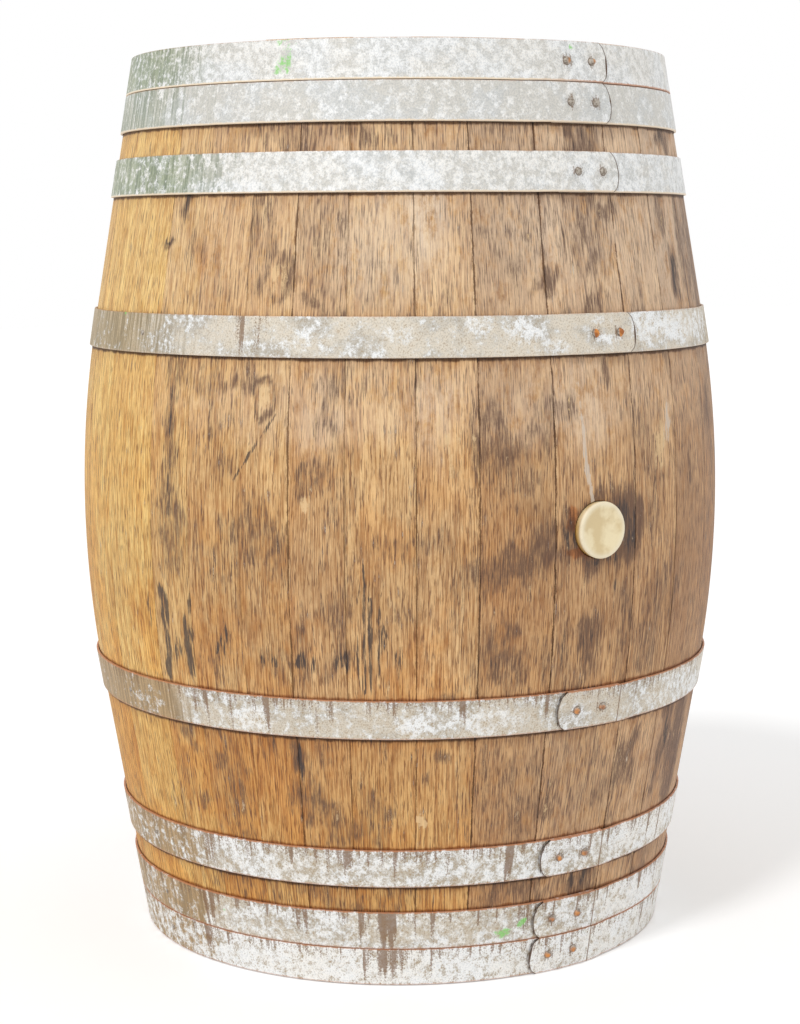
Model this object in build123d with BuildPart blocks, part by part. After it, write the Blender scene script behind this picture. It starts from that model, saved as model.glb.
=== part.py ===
from build123d import *

import math
import os

# A coopered oak barrel of 225 litres. Origin at the centre of the face it stands on, +Z up.
# The bung faces -Y. Millimetres and degrees.

# Bowed oak body
barrel_height = 945.0
bilge_diameter = 700.0
bow_radius = 1150.0
end_taper_length = 280.0
stave_thickness = 27.0
seam_bevel = 1.3
# Each stave's share of the way round, counter-clockwise from above, the bung stave first
stave_width_shares = (
    16.6, 11.8, 13.0, 11.0, 14.5, 10.5, 12.0, 13.5, 11.5, 13.3,
    10.0, 14.0, 12.0, 11.8, 13.2, 12.4, 11.55, 13.6, 11.2, 12.9,
    12.3, 11.7, 13.8, 8.85, 10.4, 8.7, 9.3, 11.4, 10.2, 13.0,
)

# Stave ends: bevelled chime, and the croze groove that holds a head
chime_tip = 15.0
chime_bevel_length = 28.0
croze_rise = 45.0
croze_depth = 6.0
croze_mouth = 8.0
croze_root = 5.0

# Heads
head_thickness = 22.0
head_bevel_length = 16.0
head_shoulder = 3.0
croze_clearance = 0.3
head_board_shares = (0.105, 0.135, 0.13, 0.14, 0.125, 0.13, 0.125, 0.11)
rush_thickness = 1.0
rush_recess = 1.5
dowel_radius = 4.0
dowel_length = 36.0
dowel_clearance = 0.2
dowel_spread_share = 0.5

# Flat steel hoops, lapped and riveted in line with the bung
hoop_width = 40.0
hoop_thickness = 2.0
hoop_clearance = 0.3
chime_hoop_setback = 1.2
collar_hoop_gap = 0.8
quarter_hoop_gap = 28.0
bilge_hoop_gap = 118.0
lap_gap = 0.2
lap_end_margin = 23.0
lap_end_bulge = 6.0
lap_end_clip = 4.2
joggle_length = 26.0
joggle_gap = 5.0
upper_lap_turn = 3.2
lower_lap_turn = -0.2

# Steeple-headed rivets, two through each lap
rivet_spacing = 32.0
rivet_head_radius = 4.7
rivet_head_height = 4.4
rivet_shoulder_share = 0.62
rivet_shank_radius = 2.6
rivet_tail_radius = 3.6
rivet_tail_depth = 1.0
rivet_clearance = 0.15

# Round-headed nails that pin a hoop to one stave on each side
nail_head_radius = 2.8
nail_head_height = 1.5
nail_shank_radius = 1.1
nail_length = 18.0
nail_tip_length = 3.0
nail_clearance = 0.2

# Tapered soft bung in the bung stave, a little below mid height
bung_drop = 5.5
bung_face_diameter = 57.0
bung_stand = 7.0
bung_length = 45.0
bung_taper = 6.0
bung_clearance = 0.3
bung_rim_width = 5.0
bung_rim_round = 2.4
bung_dish_depth = 1.6

# How far a cutting shape runs past what it cuts
overrun = 5.0

# Outline of the barrel, worked out from the sizes above
bilge_radius = bilge_diameter / 2
middle_height = barrel_height / 2
bow_half_length = middle_height - end_taper_length
taper_angle = math.asin(bow_half_length / bow_radius)
bow_centre = bilge_radius - bow_radius
taper_radius = bow_centre + bow_radius * math.cos(taper_angle)
end_radius = taper_radius - end_taper_length * math.tan(taper_angle)
inner_bow_radius = bow_radius - stave_thickness
inner_taper_radius = bow_centre + inner_bow_radius * math.cos(taper_angle)
inner_bow_half_length = inner_bow_radius * math.sin(taper_angle)
inner_end_radius = end_radius - stave_thickness / math.cos(taper_angle)
bung_direction = -90.0
bung_height = middle_height - bung_drop
BOTTOM, TOP = -1, 1


def height_of(end, rise):
    """Height of a place that lies `rise` in from the bottom or the top end."""
    return rise if end == BOTTOM else barrel_height - rise


def lean_at(rise):
    """Lean of the outer face from upright, in radians, `rise` in from an end."""
    return math.asin(min(middle_height - rise, bow_half_length) / bow_radius)


def outer_radius(rise):
    """Outer radius of the staves, `rise` in from an end."""
    if rise < end_taper_length:
        return end_radius + rise * math.tan(taper_angle)
    return bow_centre + bow_radius * math.cos(lean_at(rise))


def radial_plane(angle):
    """Upright plane through the barrel's axis: x runs outwards, y runs up."""
    turn = math.radians(angle)
    return Plane(
        origin=(0, 0, 0),
        x_dir=(math.cos(turn), math.sin(turn), 0),
        z_dir=(math.sin(turn), -math.cos(turn), 0),
    )


def stave_spans():
    """Start angle and width of every stave, in degrees."""
    whole = sum(stave_width_shares)
    widths = [360.0 * share / whole for share in stave_width_shares]
    start = bung_direction - widths[0] / 2
    spans = []
    for width in widths:
        spans.append((start, width))
        start += width
    return spans


def hoop_rises():
    """Rise of each hoop's middle line, stacked from an end towards the bilge."""
    rises = {}
    edge = chime_hoop_setback
    gaps = (
        ("chime", 0.0),
        ("collar", collar_hoop_gap),
        ("quarter", quarter_hoop_gap),
        ("bilge", bilge_hoop_gap),
    )
    for name, gap in gaps:
        half_rise = hoop_width / 2 * math.cos(lean_at(edge + gap + hoop_width / 2))
        rises[name] = edge + gap + half_rise
        edge = rises[name] + half_rise
    return rises


HOOP_RISES = hoop_rises()
LAP_THICKNESS = 2 * hoop_thickness + lap_gap
LAP_HALF_LENGTH = rivet_spacing / 2 + lap_end_margin


class HoopSeat:
    """Where a hoop lies on the staves: its middle line, its lean and the way it is wound."""

    def __init__(self, end, name):
        self.end = end
        self.rise = HOOP_RISES[name]
        self.lean = lean_at(self.rise)
        self.radius = outer_radius(self.rise)
        self.height = height_of(end, self.rise)
        self.turn = end
        lap_turn = upper_lap_turn if end == TOP else lower_lap_turn
        self.lap_middle = bung_direction + lap_turn

    def degrees(self, length):
        """Angle that a length along the hoop takes up."""
        return math.degrees(length / self.radius)

    def along(self, length):
        """Angle of a place on the hoop, measured from the middle of its lap along the winding."""
        return self.lap_middle + self.turn * self.degrees(length)

    def place(self, outwards, up_slope):
        """Point of the hoop's section: outwards from the staves, and along their slope to the bilge."""
        radius = self.radius + outwards * math.cos(self.lean) + up_slope * math.sin(self.lean)
        rise = self.rise - outwards * math.sin(self.lean) + up_slope * math.cos(self.lean)
        return radius, height_of(self.end, rise)

    def band(self, lift):
        """Four corners of the strip's section, lifted off the staves."""
        half = hoop_width / 2
        return [
            self.place(lift, -half),
            self.place(lift + hoop_thickness, -half),
            self.place(lift + hoop_thickness, half),
            self.place(lift, half),
        ]

    def frame(self, angle, lift):
        """Point, direction along the winding and outward normal at the hoop's middle line."""
        turn = math.radians(angle)
        radius, height = self.place(lift, 0)
        point = Vector(radius * math.cos(turn), radius * math.sin(turn), height)
        along = Vector(-math.sin(turn), math.cos(turn), 0) * self.turn
        flat = math.cos(self.lean)
        normal = Vector(flat * math.cos(turn), flat * math.sin(turn), self.end * math.sin(self.lean))
        return point, along, normal

    def fastener_plane(self, angle, lift):
        """Plane through a fastener's axis: x runs along the hoop, y runs outwards."""
        point, along, normal = self.frame(angle, lift)
        return Plane(origin=point, x_dir=along, z_dir=along.cross(normal))

    def outer_plane(self, angle, lift):
        """Plane that lies on the hoop: x runs along the winding, z runs outwards."""
        point, along, normal = self.frame(angle, lift)
        return Plane(origin=point, x_dir=along, z_dir=normal)

    def rivet_angles(self):
        return [self.along(-rivet_spacing / 2), self.along(rivet_spacing / 2)]


RING_LIFT = hoop_clearance
TONGUE_LIFT = hoop_clearance + hoop_thickness + lap_gap
LAP_FACE_LIFT = TONGUE_LIFT + hoop_thickness
NAIL_SEAT_LIFT = RING_LIFT + hoop_thickness

# Nails: end of the barrel, hoop, and the nailed stave with the nail's place across it
LEFT_NAILED_STAVE, RIGHT_NAILED_STAVE = 22, 8
low_nail_share = 0.21
high_nail_share = 0.7
NAIL_PLACES = [
    (end, name, stave, share)
    for end, name, share in (
        (BOTTOM, "chime", low_nail_share),
        (BOTTOM, "collar", low_nail_share),
        (BOTTOM, "quarter", low_nail_share),
        (BOTTOM, "bilge", low_nail_share),
        (TOP, "bilge", high_nail_share),
    )
    for stave in (LEFT_NAILED_STAVE, RIGHT_NAILED_STAVE)
]


def nail_angle(stave, share):
    start, width = stave_spans()[stave]
    return start + share * width


# Bung hole: a cone through the bung stave, with its axis level
bung_point = (0, -bilge_radius, bung_height)
bung_axis = Axis(bung_point, (0, -1, 0))
bung_plane = Plane(origin=bung_point, x_dir=(1, 0, 0), z_dir=(0, 0, -1))
bung_spread = math.tan(math.radians(bung_taper))
bung_face_radius = bung_face_diameter / 2
bung_bottom = bung_stand - bung_length


def bung_radius(stand):
    """Radius of the bung's cone, `stand` proud of the bilge."""
    return bung_face_radius - (bung_stand - stand) * bung_spread


def make_stave(index):
    """One stave: a bowed section turned through its own angle, with flat radial joints."""
    start, width = stave_spans()[index]
    with BuildPart() as stave:
        with BuildSketch(radial_plane(start)):
            with BuildLine():
                Polyline(
                    (taper_radius, end_taper_length),
                    (end_radius, 0),
                    (inner_end_radius, 0),
                    (inner_taper_radius, middle_height - inner_bow_half_length),
                )
                ThreePointArc(
                    (inner_taper_radius, middle_height - inner_bow_half_length),
                    (bow_centre + inner_bow_radius, middle_height),
                    (inner_taper_radius, middle_height + inner_bow_half_length),
                )
                Polyline(
                    (inner_taper_radius, middle_height + inner_bow_half_length),
                    (inner_end_radius, barrel_height),
                    (end_radius, barrel_height),
                    (taper_radius, barrel_height - end_taper_length),
                )
                ThreePointArc(
                    (taper_radius, barrel_height - end_taper_length),
                    (bilge_radius, middle_height),
                    (taper_radius, end_taper_length),
                )
            make_face()
            for end in (BOTTOM, TOP):
                with BuildLine():
                    Polyline(*croze_outline(end), close=True)
                make_face(mode=Mode.SUBTRACT)
                with BuildLine():
                    Polyline(*chime_outline(end), close=True)
                make_face(mode=Mode.SUBTRACT)
        revolve(axis=Axis.Z, revolution_arc=width)
        chamfer(outer_long_edges(stave), length=seam_bevel)
        if index == 0:
            with BuildSketch(bung_plane):
                with BuildLine():
                    Polyline(*bung_hole_outline(), close=True)
                make_face()
            revolve(axis=bung_axis, mode=Mode.SUBTRACT)
        for end, name, nailed, share in NAIL_PLACES:
            if nailed == index:
                seat = HoopSeat(end, name)
                plane = seat.fastener_plane(nail_angle(nailed, share), NAIL_SEAT_LIFT)
                with BuildSketch(plane):
                    with BuildLine():
                        Polyline(*nail_hole_outline(), close=True)
                    make_face()
                revolve(axis=Axis(plane.origin, plane.y_dir), mode=Mode.SUBTRACT)
    return stave


def inner_radius(rise):
    """Inner radius of the staves within the tapered end."""
    return outer_radius(rise) - stave_thickness / math.cos(taper_angle)


def croze_half_width(depth):
    """Half the width of the croze, `depth` out from its mouth."""
    return croze_mouth / 2 - depth * (croze_mouth - croze_root) / (2 * croze_depth)


def croze_outline(end):
    mouth = inner_radius(croze_rise)
    corners = (
        (-overrun, -1),
        (croze_depth, -1),
        (croze_depth, 1),
        (-overrun, 1),
    )
    return [
        (mouth + depth, height_of(end, croze_rise + side * croze_half_width(depth)))
        for depth, side in corners
    ]


def chime_outline(end):
    """Wedge cut off the inner corner of a stave's end."""
    tip = end_radius - chime_tip
    run = inner_radius(chime_bevel_length) - tip
    past = run * overrun / chime_bevel_length
    corners = (
        (tip - past, -overrun),
        (tip + run + past, chime_bevel_length + overrun),
        (tip - past - stave_thickness, chime_bevel_length + overrun),
        (tip - past - stave_thickness, -overrun),
    )
    return [(radius, height_of(end, rise)) for radius, rise in corners]


def outer_long_edges(stave):
    """Edges where a stave's outer face meets its two joints: on the outside, and not level."""
    chosen = []
    for edge in stave.edges():
        middle = edge.position_at(0.5)
        rise = min(middle.Z, barrel_height - middle.Z)
        off_outside = abs(math.hypot(middle.X, middle.Y) - outer_radius(rise))
        climb = abs(edge.position_at(1).Z - edge.position_at(0).Z)
        if off_outside < seam_bevel and climb > stave_thickness:
            chosen.append(edge)
    return chosen


def bung_hole_outline():
    wider = bung_clearance / math.cos(math.radians(bung_taper))
    outside = bung_stand + overrun
    inside = -stave_thickness - overrun
    return [
        (0, inside),
        (bung_radius(inside) + wider, inside),
        (bung_radius(outside) + wider, outside),
        (0, outside),
    ]


def nail_hole_outline():
    radius = nail_shank_radius + nail_clearance
    bottom = -nail_length - nail_clearance
    return [
        (0, overrun),
        (radius, overrun),
        (radius, bottom + nail_tip_length),
        (0, bottom),
    ]


def make_hoop(end, name):
    """One hoop: a ring of strip whose outer end rises over its inner end and is riveted to it."""
    seat = HoopSeat(end, name)
    inner_end = -LAP_HALF_LENGTH
    raised = inner_end - joggle_gap
    lifting = raised - joggle_length
    with BuildPart() as hoop:
        # Outer tongue, then its rounded end
        with BuildSketch(radial_plane(seat.along(raised))):
            with BuildLine():
                Polyline(*seat.band(TONGUE_LIFT), close=True)
            make_face()
        revolve(axis=winding_axis(seat), revolution_arc=seat.degrees(LAP_HALF_LENGTH - raised))
        with BuildSketch(seat.outer_plane(seat.along(LAP_HALF_LENGTH), LAP_FACE_LIFT)):
            with BuildLine():
                Polyline(*tongue_end_outline()[:2])
                ThreePointArc(*tongue_end_arc())
                Polyline(*tongue_end_outline()[2:], tongue_end_outline()[0])
            make_face()
        extrude(amount=overrun, both=True, mode=Mode.SUBTRACT)
        # Joggle that lifts the strip by its own thickness
        for length, lift in ((lifting, RING_LIFT), (raised, TONGUE_LIFT)):
            with BuildSketch(radial_plane(seat.along(length))):
                with BuildLine():
                    Polyline(*seat.band(lift), close=True)
                make_face()
        loft(ruled=True)
        # Ring, from the hidden inner end round to the joggle
        with BuildSketch(radial_plane(seat.along(inner_end))):
            with BuildLine():
                Polyline(*seat.band(RING_LIFT), close=True)
            make_face()
        ring_arc = 360.0 - seat.degrees(inner_end - lifting)
        revolve(axis=winding_axis(seat), revolution_arc=ring_arc)
        for angle in seat.rivet_angles():
            plane = seat.fastener_plane(angle, LAP_FACE_LIFT)
            with BuildSketch(plane):
                with BuildLine():
                    Polyline(*rivet_hole_outline(), close=True)
                make_face()
            revolve(axis=Axis(plane.origin, plane.y_dir), mode=Mode.SUBTRACT)
        for nail_end, nail_hoop, nailed, share in NAIL_PLACES:
            if (nail_end, nail_hoop) == (end, name):
                plane = seat.fastener_plane(nail_angle(nailed, share), NAIL_SEAT_LIFT)
                with BuildSketch(plane):
                    with BuildLine():
                        Polyline(*nail_hole_outline(), close=True)
                    make_face()
                revolve(axis=Axis(plane.origin, plane.y_dir), mode=Mode.SUBTRACT)
    return hoop


def winding_axis(seat):
    """Axis of the barrel, pointing so that a turn about it follows the hoop's winding."""
    return Axis((0, 0, 0), (0, 0, seat.turn))


def tongue_end_outline():
    """Corners of the cut that shapes a hoop's outer end, but for its arc."""
    half = hoop_width / 2
    back = -lap_end_bulge - lap_end_clip - overrun
    return [
        (back, -half - overrun),
        (-lap_end_bulge, -half + lap_end_clip),
        (-lap_end_bulge, half - lap_end_clip),
        (back, half + overrun),
        (overrun, half + overrun),
        (overrun, -half - overrun),
    ]


def tongue_end_arc():
    corners = tongue_end_outline()
    return corners[1], (0, 0), corners[2]


def rivet_hole_outline():
    shank = rivet_shank_radius + rivet_clearance
    tail = rivet_tail_radius + rivet_clearance
    return [
        (0, overrun),
        (shank, overrun),
        (shank, rivet_tail_depth - LAP_THICKNESS),
        (tail, -LAP_THICKNESS),
        (tail, -LAP_THICKNESS - hoop_clearance),
        (0, -LAP_THICKNESS - hoop_clearance),
    ]


def make_rivets():
    """All rivets: a steeple head, a shank through both layers and a tail closed flush inside."""
    shoulder = (rivet_shoulder_share * rivet_head_radius, rivet_shoulder_share * rivet_head_height)
    with BuildPart() as rivets:
        for end in (BOTTOM, TOP):
            for name in HOOP_RISES:
                seat = HoopSeat(end, name)
                for angle in seat.rivet_angles():
                    plane = seat.fastener_plane(angle, LAP_FACE_LIFT)
                    with BuildSketch(plane):
                        with BuildLine():
                            ThreePointArc((0, rivet_head_height), shoulder, (rivet_head_radius, 0))
                            Polyline(
                                (rivet_head_radius, 0),
                                (rivet_shank_radius, 0),
                                (rivet_shank_radius, rivet_tail_depth - LAP_THICKNESS),
                                (rivet_tail_radius, -LAP_THICKNESS),
                                (0, -LAP_THICKNESS),
                                (0, rivet_head_height),
                            )
                        make_face()
                    revolve(axis=Axis(plane.origin, plane.y_dir))
    return rivets


def make_nails():
    """All hoop nails: a low round head, a shank and a point."""
    with BuildPart() as nails:
        for end, name, nailed, share in NAIL_PLACES:
            seat = HoopSeat(end, name)
            plane = seat.fastener_plane(nail_angle(nailed, share), NAIL_SEAT_LIFT)
            crown = math.sqrt(0.5)
            with BuildSketch(plane):
                with BuildLine():
                    ThreePointArc(
                        (0, nail_head_height),
                        (crown * nail_head_radius, crown * nail_head_height),
                        (nail_head_radius, 0),
                    )
                    Polyline(
                        (nail_head_radius, 0),
                        (nail_shank_radius, 0),
                        (nail_shank_radius, nail_tip_length - nail_length),
                        (0, -nail_length),
                        (0, nail_head_height),
                    )
                make_face()
            revolve(axis=Axis(plane.origin, plane.y_dir))
    return nails


# Heads: a round of boards, edge to edge, with its rim in the croze
head_radius = inner_radius(croze_rise) + croze_depth - croze_clearance


def head_outline(end):
    mouth = inner_radius(croze_rise)
    tongue = croze_half_width(croze_depth) - croze_clearance
    shoulder = croze_half_width(-head_shoulder) - croze_clearance
    half = (
        (0, head_thickness / 2),
        (mouth - head_bevel_length, head_thickness / 2),
        (mouth - head_shoulder, shoulder),
        (head_radius, tongue),
    )
    middle = height_of(end, croze_rise)
    upper = [(radius, middle + z) for radius, z in half]
    lower = [(radius, middle - z) for radius, z in reversed(half)]
    return upper + lower


def board_edges():
    """Places across the head, along X, where one board ends and the next starts."""
    whole = sum(head_board_shares)
    edges = [-head_radius]
    for share in head_board_shares:
        edges.append(edges[-1] + 2 * head_radius * share / whole)
    return edges


def dowel_places(end, joint):
    """Places of the two dowels on a joint, in the upright plane through it."""
    chord = math.sqrt(head_radius**2 - joint**2)
    height = height_of(end, croze_rise)
    return [(-chord * dowel_spread_share, height), (chord * dowel_spread_share, height)]


def make_head_board(end, index):
    """One board of a head, cut from the bevelled round between its two joints."""
    edges = board_edges()
    first, last = index == 0, index == len(head_board_shares) - 1
    left = edges[index] - (overrun if first else -rush_thickness / 2)
    right = edges[index + 1] + (overrun if last else -rush_thickness / 2)
    joints = edges[index : index + 2]
    with BuildPart() as board:
        with BuildSketch(Plane.XZ):
            with BuildLine():
                Polyline(*head_outline(end), close=True)
            make_face()
        revolve(axis=Axis.Z)
        with BuildSketch(Plane.XY.offset(height_of(end, croze_rise))):
            with Locations(((left + right) / 2, 0)):
                Rectangle(right - left, 2 * (head_radius + overrun))
        extrude(amount=head_thickness, both=True, mode=Mode.INTERSECT)
        for joint in joints:
            if abs(joint) < head_radius - overrun:
                with BuildSketch(Plane.YZ.offset(joint)):
                    with Locations(*dowel_places(end, joint)):
                        Circle(dowel_radius + dowel_clearance)
                extrude(amount=dowel_length / 2 + dowel_clearance, both=True, mode=Mode.SUBTRACT)
    return board


def make_rush_strips():
    """Strips of dried rush that seal the joints between the head boards."""
    with BuildPart() as strips:
        for end in (BOTTOM, TOP):
            with BuildSketch(Plane.XZ):
                with BuildLine():
                    Polyline(*head_outline(end), close=True)
                make_face()
            revolve(axis=Axis.Z)
        with BuildSketch(Plane.XY):
            for joint in board_edges()[1:-1]:
                with Locations((joint, 0)):
                    Rectangle(rush_thickness, 2 * (head_radius + overrun))
        extrude(amount=barrel_height, mode=Mode.INTERSECT)
        for end in (BOTTOM, TOP):
            middle = height_of(end, croze_rise)
            for side in (-1, 1):
                face = head_thickness / 2 - rush_recess
                with BuildSketch(Plane.XY.offset(middle + side * face)):
                    Circle(head_radius + overrun)
                extrude(amount=side * overrun, mode=Mode.SUBTRACT)
            for joint in board_edges()[1:-1]:
                with BuildSketch(Plane.YZ.offset(joint)):
                    with Locations(*dowel_places(end, joint)):
                        Circle(dowel_radius + dowel_clearance)
                extrude(amount=rush_thickness, both=True, mode=Mode.SUBTRACT)
    return strips


def make_dowels():
    """Pegs that hold each head's boards edge to edge."""
    with BuildPart() as dowels:
        for end in (BOTTOM, TOP):
            for joint in board_edges()[1:-1]:
                with BuildSketch(Plane.YZ.offset(joint)):
                    with Locations(*dowel_places(end, joint)):
                        Circle(dowel_radius)
                extrude(amount=dowel_length / 2, both=True)
    return dowels


def make_bung():
    """The bung: a tapered plug with a rounded rim round a shallow dish."""
    dish_radius = bung_face_radius - bung_rim_width
    with BuildPart() as bung:
        with BuildSketch(bung_plane):
            with BuildLine():
                Polyline(
                    (dish_radius, bung_stand),
                    (bung_face_radius, bung_stand),
                    (bung_radius(bung_bottom), bung_bottom),
                    (0, bung_bottom),
                    (0, bung_stand - bung_dish_depth),
                )
                TangentArc(
                    (0, bung_stand - bung_dish_depth),
                    (dish_radius, bung_stand),
                    tangent=(1, 0),
                )
            make_face()
        revolve(axis=bung_axis)
        rim = bung.faces().sort_by(Axis.Y)[0].outer_wire().edges()
        foot = bung.faces().sort_by(Axis.Y)[-1].edges()
        fillet(rim, radius=bung_rim_round)
        fillet(foot, radius=bung_rim_round)
    return bung


pieces = {}
for number in range(len(stave_width_shares)):
    node = "bung_stave" if number == 0 else f"stave_{number + 1:02d}"
    pieces[node] = make_stave(number)
for hoop_end, side in ((TOP, "top"), (BOTTOM, "bottom")):
    for hoop_name in HOOP_RISES:
        pieces[f"{side}_{hoop_name}_hoop"] = make_hoop(hoop_end, hoop_name)
    for number in range(len(head_board_shares)):
        pieces[f"{side}_head_board_{number + 1}"] = make_head_board(hoop_end, number)
pieces["hoop_rivets"] = make_rivets()
pieces["hoop_nails"] = make_nails()
pieces["head_dowels"] = make_dowels()
pieces["head_rush_strips"] = make_rush_strips()
pieces["bung"] = make_bung()

os.makedirs("parts", exist_ok=True)
for node, piece in pieces.items():
    piece.part.label = node
    export_step(piece.part, f"parts/{node}.step")
print(f"{len(pieces)} pieces, end diameter {2 * end_radius:.1f}, head diameter {2 * head_radius:.1f}")
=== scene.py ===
# %% [markdown]
# # A coopered oak barrel
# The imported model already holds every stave, hoop, rivet and head board at its true size and place.
# This lesson dresses it. Each visible piece gets a finer mesh where the real one has more shape, and a
# finish made of nodes, so nothing is painted from a picture. All lengths are metres, in the CAD's frame:
# the barrel stands on z = 0 and its bung faces -Y.

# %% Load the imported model
import math

import bmesh
import bpy
import numpy as np
from mathutils import Matrix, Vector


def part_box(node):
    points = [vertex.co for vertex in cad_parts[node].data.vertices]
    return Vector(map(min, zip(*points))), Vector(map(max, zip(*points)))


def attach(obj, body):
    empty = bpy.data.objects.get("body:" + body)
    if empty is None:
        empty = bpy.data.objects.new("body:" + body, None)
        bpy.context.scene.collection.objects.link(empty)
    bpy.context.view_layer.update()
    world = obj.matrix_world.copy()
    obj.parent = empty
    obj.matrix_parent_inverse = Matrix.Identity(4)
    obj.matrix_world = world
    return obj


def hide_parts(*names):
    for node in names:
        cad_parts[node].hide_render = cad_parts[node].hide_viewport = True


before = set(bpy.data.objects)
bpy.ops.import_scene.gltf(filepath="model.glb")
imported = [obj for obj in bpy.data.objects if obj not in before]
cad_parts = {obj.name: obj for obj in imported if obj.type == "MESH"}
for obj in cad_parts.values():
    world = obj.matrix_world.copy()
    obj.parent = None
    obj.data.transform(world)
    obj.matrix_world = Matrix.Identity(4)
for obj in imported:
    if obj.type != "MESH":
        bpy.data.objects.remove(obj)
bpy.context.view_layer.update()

# %% [markdown]
# ## The barrel's outline
# Seen from the side, a barrel is one long arc in the middle, the bilge, which runs into a straight taper
# at each end. One could draw that as a curve and spin it with a Screw modifier, but the staves have to
# stay separate pieces. So the outline is a formula that gives a radius for each height, and the staves,
# hoops, rivets and stains all use it. A bearing is an angle in degrees from the bung, positive to the
# right as seen from outside.

# %% Outline and places on the barrel
MM = 0.001
BARREL_HEIGHT = 945 * MM
BILGE_RADIUS = 350 * MM
BOW_RADIUS = 1150 * MM
END_TAPER = 280 * MM
STAVE_THICKNESS = 27 * MM

MIDDLE = BARREL_HEIGHT / 2
TAPER_LEAN = math.asin((MIDDLE - END_TAPER) / BOW_RADIUS)


def bowed(height, bow_radius):
    """Radius of an arc of that bow at mid height, with a straight taper towards both ends."""
    off = np.abs(np.asarray(height, float) - MIDDLE)
    reach = bow_radius * math.sin(TAPER_LEAN)
    arc = np.sqrt(bow_radius**2 - np.minimum(off, reach) ** 2)
    return BILGE_RADIUS - BOW_RADIUS + arc - np.maximum(off - reach, 0) * math.tan(TAPER_LEAN)


def outer_radius(height):
    return bowed(height, BOW_RADIUS)


def on_barrel(bearing, radius, height):
    """Points at a bearing in degrees, a distance from the axis and a height."""
    turn = np.radians(bearing)
    return np.stack(np.broadcast_arrays(radius * np.sin(turn), -radius * np.cos(turn), height), axis=-1)


def bearing_of(points):
    return np.degrees(np.arctan2(points[..., 0], -points[..., 1]))


def turned_from(bearing, other):
    """Difference of two bearings, from -180 to 180 degrees."""
    return (np.asarray(bearing) - other + 180) % 360 - 180


print(f"end diameter {2 * outer_radius(0):.4f} m, bilge diameter {2 * BILGE_RADIUS:.4f} m")

# %% [markdown]
# ## The camera
# A camera that was fitted to the hoops' edges in the photograph stands 2.4 m off, at four fifths of the
# barrel's height, and looks slightly down. Its lens is a long one, so the hoops are flat ellipses. The
# picture is taller than wide, and Blender's automatic sensor fit then applies the sensor to the height.

# %% Set up the camera
EYE_BEARING = -34.1
EYE_DISTANCE = 2.374
EYE_HEIGHT = 0.758
LOOK_DOWN = math.radians(7.455)
EYE_ROLL = math.radians(-0.25)
LENS_IN_PIXELS = 2133.2
PICTURE_PIXELS_HIGH = 1024
SENSOR_MM = 36.0

camera_data = bpy.data.cameras.new("camera")
camera_data.sensor_width = SENSOR_MM
camera_data.lens = SENSOR_MM * LENS_IN_PIXELS / PICTURE_PIXELS_HIGH
camera = bpy.data.objects.new("camera", camera_data)
camera.matrix_world = (
    Matrix.Translation(on_barrel(EYE_BEARING, EYE_DISTANCE, EYE_HEIGHT))
    @ Matrix.Rotation(math.radians(EYE_BEARING), 4, "Z")
    @ Matrix.Rotation(math.pi / 2 - LOOK_DOWN, 4, "X")
    @ Matrix.Rotation(EYE_ROLL, 4, "Z")
)
bpy.context.scene.collection.objects.link(camera)
bpy.context.scene.camera = camera
print(f"lens {camera_data.lens:.1f} mm, camera at", [round(c, 3) for c in camera.location])

# %% [markdown]
# ## Writing materials as recipes
# A finish is a tree of nodes, and a tree is long to write out by hand. This small helper adds one node
# per call and hands back its output, so a recipe reads from top to bottom: a noise, a threshold, a blend.
# Charts are numbers kept on the mesh points. They say how strongly a stain lies at each place, and noise
# in the recipe breaks them up into grain and specks.

# %% Helper for node recipes
class Recipe:
    """A tree of nodes under construction, for a material or for the sky."""

    def __init__(self, owner):
        owner.use_nodes = True
        self.tree = owner.node_tree

    def feed(self, socket, value):
        if isinstance(value, bpy.types.NodeSocket):
            self.tree.links.new(value, socket)
        elif socket.type == "RGBA":
            socket.default_value = (*value, 1.0)
        else:
            socket.default_value = value

    def add(self, kind, inputs, output=0, **settings):
        node = self.tree.nodes.new(kind)
        for name, value in settings.items():
            setattr(node, name, value)
        for place, value in inputs.items():
            self.feed(node.inputs[place], value)
        return node.outputs[output]

    def math(self, operation, a, b):
        return self.add("ShaderNodeMath", {0: a, 1: b}, operation=operation)


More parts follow.
